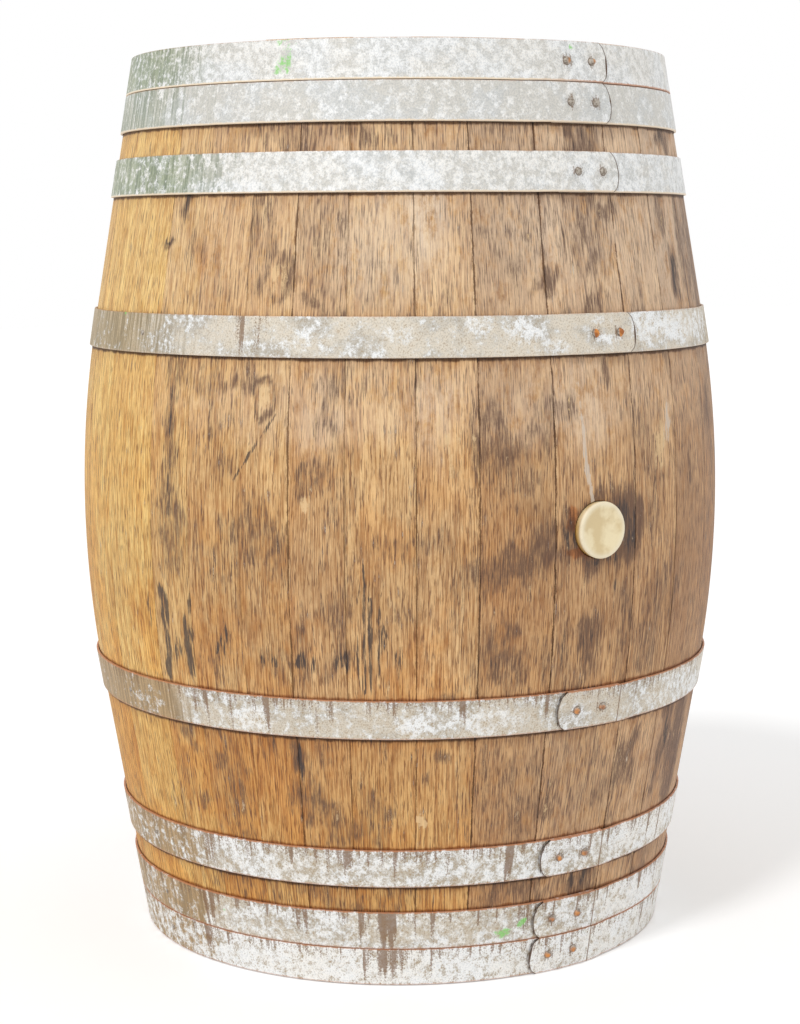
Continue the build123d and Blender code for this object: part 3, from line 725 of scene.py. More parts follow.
def chart_stains(piece, bearing, height, dull):
    """Clouds, soot, scrapes, lime and rust, a fine dirt all over, and the painted shadow just right of the
    bung.
    """
    around = bearing * MM_PER_DEGREE
    dirt = wander(21, around, 0.7 * height, 40) + 0.7 * wander(22, around, 0.5 * height, 14)
    dirt = 0.8 * dull * np.clip(dirt, 0, 1) * (1 - 0.55 * rising(height, *CLEAN_TOP))
    knots = marked(bearing, height, KNOTS, FINE_TEAR, knot_ring)
    soot = np.maximum(marked(bearing, height, SOOT_AND_BUNG_SHADOW_MARKS, FINE_TEAR), scored(bearing, height, SOOT_LINES))
    drips = marked(bearing, height, LIME_MARKS, LEAST_TEAR)
    set_charts(
        piece,
        cloud=np.max([marked(bearing, height, CLOUDS_AND_BUNG_SHADOW), knots, dirt], axis=0),
        soot=np.maximum(soot, 0.3 * knots),
        scrape=marked(bearing, height, SCRAPES, FINE_TEAR),
        lime=np.maximum(drips, scored(bearing, height, LIME_LINES)),
        rust=marked(bearing, height, RUST_MARKS),
    )


# %% All charts of one stave
HALF_HOOP = 20
FARTHEST_GAP = 200
PLANK_SHIFT = 3.7
HONEY_CLEAN = 0.75


def gap_to(height, edges, side):
    """Distance in millimetres from the nearest hoop edge: those above a point (side 1) or below it (-1)."""
    gaps = side * (np.asarray(edges)[:, None] - height[None, :])
    return np.where(gaps > -HALF_HOOP, gaps, np.inf).min(axis=0).clip(-HALF_HOOP, FARTHEST_GAP)


def stain_stave(piece, number, left, right, hoop_edges):
    points = points_of(piece)
    bearing, height = bearing_of(points), points[:, 2] / MM
    off = turned_from(bearing, (left + right) / 2)
    radius = np.hypot(points[:, 0], points[:, 1])
    plank = np.full(len(points), PLANK_SHIFT * number)
    joints = [JOINT_DARK.get(side, PLAIN_JOINT) for side in (number, number % STAVE_COUNT + 1)]
    lows, highs = np.array(hoop_edges).T
    set_charts(
        piece,
        grain=np.stack([np.radians(off) * radius, points[:, 2], plank], axis=1),
        to_seam=((right - left) / 2 - np.abs(off)) * np.radians(radius) / MM,
        joint=np.where(off < 0, *joints),
        under_hoop=gap_to(height, lows, 1),
        over_hoop=gap_to(height, highs[len(highs) // 2 :], -1),
    )
    dull = 1 - HONEY_CLEAN * STAVE_HONEY[number]
    chart_tones(piece, number, bearing, height, dull)
    chart_stains(piece, bearing, height, dull)


# %% [markdown]
# ## Building pieces from points
# Blender's operators work on a selected object, which gets awkward with thirty staves. Making a mesh from
# a list of points and faces is quicker and repeatable. Smooth shading is switched on everywhere and edges
# that turn more than a set angle are marked sharp, so curved faces look curved and corners stay crisp.

# %% Make a piece and hang it on a CAD body
SHARP_TURN = math.radians(38)


def make_piece(name, points, faces, finishes, finish_of_face=None):
    mesh = bpy.data.meshes.new(name)
    mesh.from_pydata(np.asarray(points).tolist(), [], faces)
    for finish in finishes:
        mesh.materials.append(finish)
    if finish_of_face is not None:
        mesh.polygons.foreach_set("material_index", np.asarray(finish_of_face, np.int32))
    work = bmesh.new()
    work.from_mesh(mesh)
    loose = [point for point in work.verts if not point.link_faces]
    bmesh.ops.delete(work, geom=loose, context="VERTS")
    bmesh.ops.recalc_face_normals(work, faces=work.faces)
    work.to_mesh(mesh)
    work.free()
    mesh.polygons.foreach_set("use_smooth", np.ones(len(mesh.polygons), bool))
    mesh.set_sharp_from_angle(angle=SHARP_TURN)
    piece = bpy.data.objects.new(name, mesh)
    bpy.context.scene.collection.objects.link(piece)
    return piece


def stand_for(piece, node, body):
    """The piece takes a CAD node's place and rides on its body."""
    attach(piece, body)
    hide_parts(node)


# %% [markdown]
# ## The staves
# A stave is a plank, bowed and tapered, with flat joints that point at the barrel's axis. Its inner corner
# is bevelled at both ends, the chime, and a groove, the croze, holds the head. One could bend a box with
# a Curve modifier, but then neighbours would not meet. Here a ring of points is swept up through rows of
# heights: fine columns outside, a few inside. Edges are slightly rounded, the outer face is a little
# uneven from the plane, and the ends are not all sawn to the same length.

# %% Shape of a stave
CHIME_TIP = 15 * MM
CHIME_LENGTH = 28 * MM
CROZE_RISE = 45 * MM
CROZE_DEPTH = 6 * MM
CROZE_MOUTH, CROZE_ROOT = 8 * MM, 5 * MM
SEAM_ROUND = 0.6 * MM
SEAM_GAP = 0.04 * MM
COLUMN_WIDTH = 2.4 * MM
ROW_HEIGHT = 4 * MM
END_ROUND = 0.8 * MM
END_UNEVEN = 20 * MM


def inner_radius(height):
    """Inner radius of the staves, with the chime bevel and the croze."""
    rise = np.minimum(height, BARREL_HEIGHT - height)
    plain = bowed(height, BOW_RADIUS - STAVE_THICKNESS)
    tip = outer_radius(0) - CHIME_TIP
    share = np.clip(rise / CHIME_LENGTH, 0, 1)
    bevel = tip + share * (bowed(CHIME_LENGTH, BOW_RADIUS - STAVE_THICKNESS) - tip)
    slope = (CROZE_MOUTH - CROZE_ROOT) / 2
    groove = CROZE_DEPTH * np.clip((CROZE_MOUTH / 2 - np.abs(rise - CROZE_RISE)) / slope, 0, 1)
    return np.where(rise < CHIME_LENGTH, bevel, plain) + groove


def stave_rows():
    """Heights of a stave's rows: even ones, and one at each corner of the chime and croze."""
    near_end = [0, END_ROUND, 7 * MM, 14 * MM, 21 * MM, CHIME_LENGTH, 35 * MM]
    near_end += [CROZE_RISE + side * width / 2 for side in (-1, 1) for width in (CROZE_MOUTH, CROZE_ROOT)]
    start = CROZE_RISE + CROZE_MOUTH
    count = round((BARREL_HEIGHT - 2 * start) / ROW_HEIGHT)
    even = np.linspace(start, BARREL_HEIGHT - start, count + 1)
    return np.unique(np.concatenate([near_end, even, BARREL_HEIGHT - np.array(near_end)]).round(6))


STAVE_ROWS = stave_rows()
print(len(STAVE_ROWS), "rows in a stave")

# %% Uneven faces
PLANE_RIPPLE = 0.22 * MM
STAVE_SINK = (0.05, 0.45)
WAVES_ACROSS, WAVES_ALONG = (-40, 40), (4, 22)


def ripple(seed, across, along, waves=6):
    """Slow unevenness from -1 to 1, as a hand plane leaves it."""
    draw = np.random.default_rng(seed)
    total = 0
    for _ in range(waves):
        phase = draw.uniform(0, 2 * math.pi)
        slant, climb = draw.uniform(*WAVES_ACROSS), draw.uniform(*WAVES_ALONG)
        total = total + np.sin(slant * across + climb * along + phase)
    return total / waves


def stave_skin(number, off, height):
    """Radius of a stave's outer face, `off` degrees from its middle line."""
    draw = np.random.default_rng(300 + number)
    sink = draw.uniform(*STAVE_SINK) * MM
    across = np.radians(off) * BILGE_RADIUS
    return outer_radius(height) - sink - PLANE_RIPPLE * (1 + ripple(number, across, height))


# %% Rings of points swept up a stave
TOP_UNEVEN, FOOT_UNEVEN = 0.6, 0.5
INSIDE_COLUMNS = 4


def stave_mesh(number, left, right):
    """Points of every row: left to right outside, then back inside."""
    draw = np.random.default_rng(100 + number)
    rows = STAVE_ROWS.copy()
    rows -= smooth((rows - BARREL_HEIGHT + END_UNEVEN) / END_UNEVEN) * draw.uniform(0, TOP_UNEVEN) * MM
    rows += smooth((END_UNEVEN - rows) / END_UNEVEN) * draw.uniform(0, FOOT_UNEVEN) * MM * (number % 3 > 0)
    height = rows[:, None]
    width = np.radians(right - left) * outer_radius(height)
    first, last = SEAM_ROUND * draw.uniform(0.55, 1.15, 2)
    count = round(np.radians(right - left) * BILGE_RADIUS / COLUMN_WIDTH)
    share = np.linspace(0, 1, count)
    inner_columns = 3 * first + share * (width - 3 * first - 3 * last)
    ones = np.ones_like(height)
    columns = np.concatenate(
        [SEAM_GAP * ones, 0.4 * first * ones, 1.2 * first * ones, inner_columns]
        + [width - 1.2 * last, width - 0.4 * last, width - SEAM_GAP],
        axis=1,
    )
    sink = np.concatenate([[first, 0.3 * first, 0], 0 * share, [0, 0.3 * last, last]])
    ends = np.zeros_like(height)
    ends[[0, -1]] = END_ROUND
    bearing = left + (right - left) * columns / width
    off = bearing - (left + right) / 2
    outside = on_barrel(bearing, stave_skin(number, off, height) - sink - ends, height)

    columns_inside = outside.shape[1] if number == 1 else INSIDE_COLUMNS
    edge = np.degrees(SEAM_GAP / BILGE_RADIUS)
    bearing = np.linspace(right - edge, left + edge, columns_inside)[None, :]
    inside = on_barrel(bearing, inner_radius(STAVE_ROWS[:, None]), height)
    return outside, inside


def tube_faces(rows, ring):
    """Faces between the rings of a swept shape, row by row, then its two end faces."""
    faces = []
    for row in range(rows - 1):
        low, high = row * ring, (row + 1) * ring
        for column in range(ring):
            beyond = (column + 1) % ring
            faces.append((low + column, low + beyond, high + beyond, high + column))
    return faces + [tuple(range(ring))[::-1], tuple(range((rows - 1) * ring, rows * ring))]


def stave_kinds(outside_columns, ring):
    """The finish of each face: 0 for outside, 1 for inside and 2 for ends."""
    rise = np.minimum(STAVE_ROWS, BARREL_HEIGHT - STAVE_ROWS)
    at_chime = np.maximum(rise[:-1], rise[1:]) < CROZE_RISE
    outside = np.arange(ring) < outside_columns - 1
    return np.where(outside[None, :] | at_chime[:, None], 0, 1).ravel().tolist() + [2, 2]


# %% [markdown]
# The bung stave has a tapered hole. A Boolean modifier could cut it, but it leaves long thin triangles
# that shade badly. Instead the faces in a block round the hole are left out, and rings of points lead
# from the block's border to the circle, outside and inside, with a cone between them.

# %% The bung hole
BUNG_HEIGHT = 467 * MM
BUNG_TAPER = math.radians(6)
BUNG_FACE_RADIUS = 28.5 * MM
BUNG_STAND = 7 * MM
HOLE_ROOM = 0.3 * MM
HOLE_BLOCK = 40 * MM
HOLE_EDGE = 1.2 * MM
HOLE_RINGS = (0.78, 0.58, 0.4, 0.26, 0.14)


def hole_radius(stand):
    """Radius of the hole's cone, `stand` proud of the bilge."""
    return BUNG_FACE_RADIUS - (BUNG_STAND - stand) * math.tan(BUNG_TAPER) + HOLE_ROOM


def outside_skin(x, z):
    return stave_skin(1, np.degrees(np.arcsin(x / BILGE_RADIUS)), z)


def inside_skin(x, z):
    return inner_radius(z)


def cut_bung_hole(outside, inside, faces, kinds):
    """Replaces the faces round the hole by rings that lead to it. Returns the points, faces and kinds."""
    rows, columns = outside.shape[:2]
    ring = 2 * columns
    points = np.concatenate([outside, inside], axis=1).reshape(-1, 3)
    on_row = np.flatnonzero(np.abs(STAVE_ROWS - BUNG_HEIGHT) < HOLE_BLOCK)
    on_column = np.flatnonzero(np.abs(outside[rows // 2, :, 0]) < HOLE_BLOCK)
    bottom, top, start, stop = on_row[0], on_row[-1], on_column[0], on_column[-1]
    loop = [(bottom, c) for c in range(start, stop)] + [(r, stop) for r in range(bottom, top)]
    loop += [(top, c) for c in range(stop, start, -1)] + [(r, start) for r in range(top, bottom, -1)]

    def kept(face):
        row, column = divmod(face[0], ring)
        column = column if column < columns else ring - 2 - column
        return len(face) != 4 or not (bottom <= row < top and start <= column < stop)

    kinds = [kind for face, kind in zip(faces, kinds) if kept(face)]
    faces = [face for face in faces if kept(face)]
    new, rims = [points], []

    def join(a, b, kind):
        for k in range(len(a)):
            n = (k + 1) % len(a)
            faces.append((int(a[k]), int(a[n]), int(b[n]), int(b[k])))
            kinds.append(kind)

    def lead(before, x, z, radius, kind):
        """Adds a ring of points and joins it to the ring before."""
        first = sum(len(part) for part in new)
        new.append(np.stack([x, -np.sqrt(radius**2 - x**2), z], axis=1))
        added = first + np.arange(len(x))
        join(before, added, kind)
        return added

    sides = [(outside_skin, hole_radius(0) + HOLE_EDGE), (inside_skin, hole_radius(-STAVE_THICKNESS))]
    for kind, (skin, circle) in enumerate(sides):
        before = np.array([r * ring + (ring - 1 - c if kind else c) for r, c in loop])
        x, z = points[before, 0], points[before, 2] - BUNG_HEIGHT
        turn = np.arctan2(z, x)
        rim_x, rim_z = circle * np.cos(turn), circle * np.sin(turn)
        for share in (*HOLE_RINGS, 0.0):
            ring_x = rim_x + share * (x - rim_x)
            ring_z = rim_z + share * (z - rim_z) + BUNG_HEIGHT
            radius = skin(ring_x, ring_z)
            before = lead(before, ring_x, ring_z, radius, kind)
        if kind == 0:
            lip = circle - HOLE_EDGE
            lip_z = lip * np.sin(turn) + BUNG_HEIGHT
            before = lead(before, lip * np.cos(turn), lip_z, radius - HOLE_EDGE, kind)
        rims.append(before)
    join(*rims, 1)
    return np.concatenate(new), faces, kinds


# %% Measure and build the thirty staves
STAVES = ["bung_stave"] + [f"stave_{number:02d}" for number in range(2, STAVE_COUNT + 1)]
HOOP_KINDS = ("chime", "collar", "quarter", "bilge")
HOOP_NAMES = [f"{side}_{kind}_hoop" for side in ("top", "bottom") for kind in HOOP_KINDS]


def stave_span(node):
    """Left and right joint of a stave, as bearings read from its CAD mesh."""
    points = points_of(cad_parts[node])
    facing = float(bearing_of(points.mean(axis=0)))
    off = turned_from(bearing_of(points), facing)
    return facing + off.min(), facing + off.max()


hoop_edges = [(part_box(name)[0].z / MM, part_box(name)[1].z / MM) for name in HOOP_NAMES]
finishes = [staves_outside, staves_inside, staves_ends]
stave_faces = 0
for stave_number, node in enumerate(STAVES, start=1):
    left, right = stave_span(node)
    outside, inside = stave_mesh(stave_number, left, right)
    ring = outside.shape[1] + inside.shape[1]
    faces, kinds = tube_faces(len(STAVE_ROWS), ring), stave_kinds(outside.shape[1], ring)
    points = np.concatenate([outside, inside], axis=1).reshape(-1, 3)
    if node == "bung_stave":
        points, faces, kinds = cut_bung_hole(outside, inside, faces, kinds)
    stave = make_piece(f"oak_{node}", points, faces, finishes, kinds)
    stain_stave(stave, stave_number, left, right, hoop_edges)
    stand_for(stave, node, "barrel")
    stave_faces += len(stave.data.polygons)
print(f"{len(STAVES)} staves, {stave_faces} faces")

# %% [markdown]
# ## Weathered zinc
# The hoops are steel strip with a hot-dip zinc coat. Out of doors it dulls to grey and grows a white
# crust. Dirt streaks the damp side, green on the upper hoops and brown on the lower ones. Rust runs down
# from the cut edges, brown specks lie on the lower hoops and a few green ones are algae. A Voronoi
# texture would draw the crystals of new zinc, but old hoops hardly show them. Four noises do the work
# here, a crust, a fine grit, broad patches and upright streaks, and the rest are charts again.

# %% Finish of the hoops
ZINC_WHITE = (0.96, 0.96, 0.945)
ZINC_GREY, ZINC_DULL = (0.68, 0.68, 0.655), (0.50, 0.445, 0.36)
ZINC_BEIGE = (0.78, 0.715, 0.61)
ZINC_TINT, WARM_TINT = (0.84, 0.855, 0.87), (1.0, 0.98, 0.95)
DAMP_GREEN, DAMP_BROWN = (0.42, 0.47, 0.325), (0.52, 0.35, 0.175)
STREAK_TINT = (0.62, 0.64, 0.66)
SPECK_BROWN = (0.43, 0.285, 0.14)
RUST_AND_SHADE_BROWN = (0.25, 0.145, 0.08)
EDGE_RUST, EDGE_CREAM = (0.58, 0.25, 0.115), (0.93, 0.79, 0.60)
TIP_SHADE_AND_RUST = (0.12, 0.07, 0.045)
ALGAE = (0.22, 0.64, 0.11)


def weathered_zinc():
    finish = Finish("weathered_zinc")
    place = finish.place_chart("band")
    crust = finish.noise(place, (120, 105, 1.0), detail=8.0, rough=0.8)
    fine = finish.noise(place, (700, 560, 1.0), detail=3.0)
    patches = finish.noise(place, (15, 19, 1.0), detail=5.0, rough=0.62)
    upright = finish.noise(place, (230, 11, 1.0), detail=5.0, rough=0.66)
    lower = finish.chart("lower")

    finish.colour = finish.blend(lower, ZINC_GREY, ZINC_DULL)
    tanned = finish.times(finish.chart("beige"), finish.step(patches, 0.38, 0.54))
    finish.lay(ZINC_BEIGE, tanned)
    dirt = finish.blend(lower, DAMP_GREEN, DAMP_BROWN)
    dirt = finish.blend(finish.step(upright, 0.42, 0.58), dirt, STREAK_TINT, "MULTIPLY")
    damp = finish.step(finish.plus(finish.chart("damp"), finish.swing(upright, 1.8)), 0.1, 1.0)
    finish.lay(dirt, damp)
    cover = finish.weigh((crust, 1.0), (finish.chart("oxide"), 0.15), (damp, -0.065), (tanned, -0.09))
    white = finish.step(cover, 0.40, 0.55)
    finish.lay(ZINC_WHITE, white)
    finish.tint(ZINC_TINT, finish.step(fine, 0.44, 0.60))
    specks = finish.step(finish.weigh((fine, 0.5), (crust, -0.5)), 0.035, 0.10, 0.6)
    finish.lay(SPECK_BROWN, finish.times(specks, lower))
    finish.tint(WARM_TINT, finish.step(patches, 0.44, 0.56))

    # runs of rust, with the rings of grime and painted shade round the rivets
    run_and_rivet_shade_chart = finish.chart("runs")
    runs = finish.weigh((upright, 0.7), (fine, 0.3), (run_and_rivet_shade_chart, 0.24))
    runs = finish.times(finish.step(runs, 0.58, 0.69), finish.step(run_and_rivet_shade_chart, 0.0, 0.2))
    finish.lay(RUST_AND_SHADE_BROWN, finish.times(runs, 0.8))
    unevenly = finish.swing(crust, 5.0)
    at_top = finish.step(finish.plus(finish.chart("from_top"), unevenly), 1.0, 0.2)
    at_foot = finish.step(finish.plus(finish.chart("from_foot"), unevenly), 2.0, 0.9)
    finish.lay(EDGE_CREAM, finish.times(at_foot, finish.chart("cream")))
    finish.lay(EDGE_RUST, finish.times(at_foot, finish.chart("foot_rust")))
    finish.lay(EDGE_RUST, finish.times(at_top, finish.chart("top_rust")))
    # painted shade with rust: a dark line along the tongue's rounded tip, on it and on the strip below
    finish.lay(TIP_SHADE_AND_RUST, finish.step(finish.chart("from_tip"), 1.7, 0.5))
    # painted shade: a thin dark line where the joggle steps the outer end up, on the lower hoops only
    from_step = finish.chart("from_step")
    joggle_shade_line = finish.times(finish.step(from_step, 1.3, 0.2), finish.step(from_step, -1.3, -0.2))
    finish.lay(RUST_AND_SHADE_BROWN, finish.times(joggle_shade_line, 0.9))
    algae_chart = finish.chart("algae")
    algae = finish.weigh((crust, 0.8), (upright, 0.2), (algae_chart, 0.12))
    algae = finish.times(finish.step(algae, 0.55, 0.64), finish.step(algae_chart, 0.05, 0.4))
    finish.lay(ALGAE, finish.times(algae, 0.8))

    roughness = finish.plus(finish.weigh((white, 0.15), (damp, 0.1), (runs, 0.2)), 0.42)
    height = finish.weigh((white, 0.5), (fine, 0.5), (runs, 0.3))
    return finish.coat(roughness, height, 0.3 * MM, metal=0.2, gloss=0.4)


hoop_zinc = weathered_zinc()

# %% [markdown]
# ## The hoops
# Each hoop is one strip, wound once round the staves and riveted where its ends lap, near the bung. The
# upper hoops are wound one way and the lower ones the other. Just before the lap the outer end is stepped
# up by the strip's thickness, the joggle, and its tip is rounded off. A Solidify modifier on a ring would
# give a closed band with no lap, so the strip is swept station by station with a lift that grows.

# %% Where each hoop lies
HOOP_WIDTH = 40 * MM
HOOP_THICKNESS = 2 * MM
HOOP_LIFT = 0.3 * MM
LAP_LIFT = HOOP_LIFT + HOOP_THICKNESS + 0.2 * MM
LAP_HALF = 39 * MM
JOGGLE_END, JOGGLE_START = -44 * MM, -70 * MM
FIRST_HOOP_SETBACK = 1.2 * MM
HOOP_GAPS = {"chime": 0.0, "collar": 0.8 * MM, "quarter": 28 * MM, "bilge": 118 * MM}
UPPER_LAP_BEARING, LOWER_LAP_BEARING = 3.2, -0.2


def lean_at(rise):
    return math.asin(min(MIDDLE - rise, MIDDLE - END_TAPER) / BOW_RADIUS)


class HoopSeat:
    """Where one hoop lies: its middle line, its lean and the way it is wound."""

    def __init__(self, side, rise):
        self.upper = side == "top"
        self.rise, self.lean = rise, lean_at(rise)
        self.radius = float(outer_radius(rise))
        self.wound = 1 if self.upper else -1
        self.lap = UPPER_LAP_BEARING if self.upper else LOWER_LAP_BEARING

    def bearing(self, along):
        return self.lap + self.wound * np.degrees(along / self.radius)

    def place(self, along, across, out):
        """Points on the strip: along the winding, across towards the bilge, and out from the staves."""
        radius = self.radius + out * math.cos(self.lean) + across * math.sin(self.lean)
        rise = self.rise - out * math.sin(self.lean) + across * math.cos(self.lean)
        return on_barrel(self.bearing(along), radius, BARREL_HEIGHT - rise if self.upper else rise)


def hoop_seats():
    seats = {}
    for side in ("top", "bottom"):
        edge = FIRST_HOOP_SETBACK
        for name, gap in HOOP_GAPS.items():
            half = HOOP_WIDTH / 2 * math.cos(lean_at(edge + gap + HOOP_WIDTH / 2))
            seats[f"{side}_{name}_hoop"] = HoopSeat(side, edge + gap + half)
            edge = edge + gap + 2 * half
    return seats


SEATS = hoop_seats()
print("hoop heights:", {name: round(float(seat.place(0, 0, 0)[2]), 4) for name, seat in SEATS.items()})

# %% [markdown]
# Stains on the hoops are charts as well. The damp side is a long fade from the left, runs start at the top
# edge of a low hoop and hang down, and beige stands for tanned patches, most of all on the upper bilge
# hoop. Oxide says where the white crust is thick or thin.

# %% Stains on the hoops
OXIDE_MARKS = [
    (-88.2, 899, 8, 7, 1.0), (-90.2, 665, 2.5, 16, 1.0), (-85.3, 664, 4, 3, 0.8),
    (-50.2, 655, 25, 10, 0.5), (-20.9, 668, 14, 8, 0.7), (-13.2, 660, 18, 9, 0.7),
    (-7.3, 652, 12, 7, 0.7), (2.9, 652, 14, 5, 0.9), (2, 672, 12, 4, 0.7), (14.2, 665, 30, 14, 0.9),
    (23, 662, 40, 15, 1.0), (36, 662, 60, 15, 0.9), (-34.6, 660, 16, 8, 0.5), (-76.5, 50, 9, 12, 0.7),
    (-31.7, 282, 20, 12, 0.6), (-59.9, 280, 20, 14, 0.6), (-19, 280, 40, 14, 0.5),
    (24, 145, 110, 30, 0.5), (24, 58, 110, 26, 0.45), (26, 280, 80, 22, 0.4),
]
ALGAE_MARKS = [
    (-55.8, 924, 8, 12, 1.0), (-57, 916, 9, 5, 0.8), (-56, 944, 14, 2, 0.8), (1.5, 938, 8, 4, 0.6),
    (-13.9, 50, 10, 5, 1.3), (-10.4, 59, 7, 5, 1.2), (-91.1, 676, 3, 3, 0.7), (-71.6, 62, 3, 3, 0.5),
]
BEIGE = {
    "top_bilge_hoop": 0.95, "bottom_bilge_hoop": 0.7, "bottom_collar_hoop": 0.5, "bottom_quarter_hoop": 0.3,
}
PLAIN_BEIGE = 0.15
WHITER = {
    "bottom_chime_hoop": 0.35, "top_collar_hoop": -0.35, "bottom_bilge_hoop": -0.2, "top_bilge_hoop": -0.3,
}
LIKE_LOWER = {"top_bilge_hoop": 0.8}
# Degrees from the damp bearing between which the damp fades out
DAMP_BEARING = -105
UPPER_DAMP, LOWER_DAMP = (10, 44), (23, 37)
DAMP_FADE = {"top_quarter_hoop": (18, 52)}
DAMP_SHARE = {"top_collar_hoop": 0.6, "top_bilge_hoop": 0.88}
STRIP_SHIFT = 2.3


def stain_hoop(piece, name, along, across):
    """Damp, crust, beige and algae."""
    seat, number = SEATS[name], HOOP_NAMES.index(name)
    points = points_of(piece)
    bearing, height = bearing_of(points), points[:, 2] / MM
    even = np.ones(len(along))
    fade = DAMP_FADE.get(name, UPPER_DAMP if seat.upper else LOWER_DAMP)
    damp = falling(np.abs(turned_from(bearing, DAMP_BEARING)), *fade) * DAMP_SHARE.get(name, 1.0)
    levels = (height.min(), height.max())
    hidden = stray(40 + number, 9, HIDDEN_BEARINGS, levels, (30, 110), (20, 40), (0.4, 0.9))
    set_charts(
        piece,
        band=np.stack([along, across, STRIP_SHIFT * number * even], axis=1),
        damp=np.maximum(damp, marked(bearing, height, hidden)),
        lower=even * LIKE_LOWER.get(name, not seat.upper),
        beige=BEIGE.get(name, PLAIN_BEIGE) * even,
        oxide=WHITER.get(name, 0.0) + marked(bearing, height, OXIDE_MARKS, LEAST_TEAR),
        algae=marked(bearing, height, ALGAE_MARKS, LEAST_TEAR),
    )
    stain_edges(piece, name, bearing, along, across)


print(len(OXIDE_MARKS), "oxide marks,", len(ALGAE_MARKS), "algae marks")

# %% [markdown]
# Runs of rust are lists too: a bearing, half a width, a length in millimetres and a strength. Finer ones
# between them come from the seeded generator. Round each rivet lies a ring of grime and painted shade, and
# thin lines of painted shade mark the lap's tip, with rust, and on the lower hoops the step of the joggle.

# %% Rust that runs down from the edges
RUNS = {
    "bottom_bilge_hoop": [
        (-71.6, 3, 30, 0.6), (-69.3, 4, 36, 0.7), (-64.4, 3, 42, 0.9), (-59.9, 3, 24, 0.6),
        (-57, 4, 42, 0.9), (-54.1, 8, 14, 0.6), (-48.2, 2.5, 42, 0.7), (-45.8, 3, 30, 0.6),
        (-40.4, 2.5, 26, 0.5), (-8.9, 4, 30, 0.8),
    ],
    "bottom_quarter_hoop": [
        (-73.6, 8, 40, 0.8), (-63.8, 4, 34, 0.7), (-55.1, 6, 18, 0.7), (-52.1, 3, 24, 0.6),
        (-44.4, 9, 28, 0.85), (-40.4, 4, 24, 0.6), (-29.7, 8, 20, 0.6), (-25.8, 4, 30, 0.5),
        (-13.6, 7, 42, 0.9), (28.1, 2, 42, 1.0), (15.1, 6, 12, 0.5), (20, 4, 10, 0.5),
    ],
    "bottom_collar_hoop": [
        (-75.8, 9, 42, 0.95), (-55.1, 3, 30, 0.7), (-52.6, 2.5, 14, 0.6), (-45.3, 5, 20, 0.5),
        (-41.4, 7, 40, 0.75), (-37, 13, 42, 1.0), (-31.7, 4, 30, 0.6), (-19, 5, 24, 0.6),
        (-9.7, 12, 42, 0.8), (12.2, 5, 10, 0.5),
    ],
    "bottom_chime_hoop": [
        (-77.5, 8, 34, 0.95), (-71.6, 4, 20, 0.7), (-54.1, 3, 10, 0.5), (-41.4, 5, 34, 0.7),
        (-37, 15, 32, 0.85), (-33.6, 4, 24, 0.6),
    ],
    "top_bilge_hoop": [(-61.4, 6, 42, 0.75), (-58, 8, 42, 0.45)],
}
RUN_LENGTHS, RUN_STRENGTHS = (10, 42), (0.4, 0.9)
WIDE_RUNS, FINE_RUNS = (2, 9), (1.2, 2.6)
SHOWN_BEARINGS = (-80, 40)
FRINGE_LENGTH, FRINGE_STRENGTH = 20, 0.42
RIVET_SPACING = 32 * MM
RIVET_GRIME_AND_SHADE, GRIME_AND_SHADE_STRENGTH = 7 * MM, 0.5
TIP_BULGE, TIP_CLIP = 4.6 * MM, 3.2 * MM
# On the top hoop the foot turns from cream to rusty over so many degrees from this bearing
RUSTY_BEARING, RUSTY_FADE = -12, (0, 25)
LITTLE_RUST = 0.1


def tip_setback(across):
    """How far the rounded tip of the strip falls short of its middle line."""
    corner = HOOP_WIDTH / 2 - TIP_CLIP
    return TIP_BULGE * (across / corner) ** 2 + np.maximum(np.abs(across) - corner, 0)


def run_stains(bearing, below, runs):
    """Strength of the runs, so many millimetres below the edge."""
    strength = np.zeros(len(below))
    for middle, wide, length, most in runs:
        across = np.abs(turned_from(bearing, middle)) * MM_PER_DEGREE
        narrow = wide * (1.1 - 0.45 * np.clip(below / length, 0, 1))
        strength = np.maximum(strength, most * (spot(across / narrow) * smooth(1.35 - below / length)))
    return strength


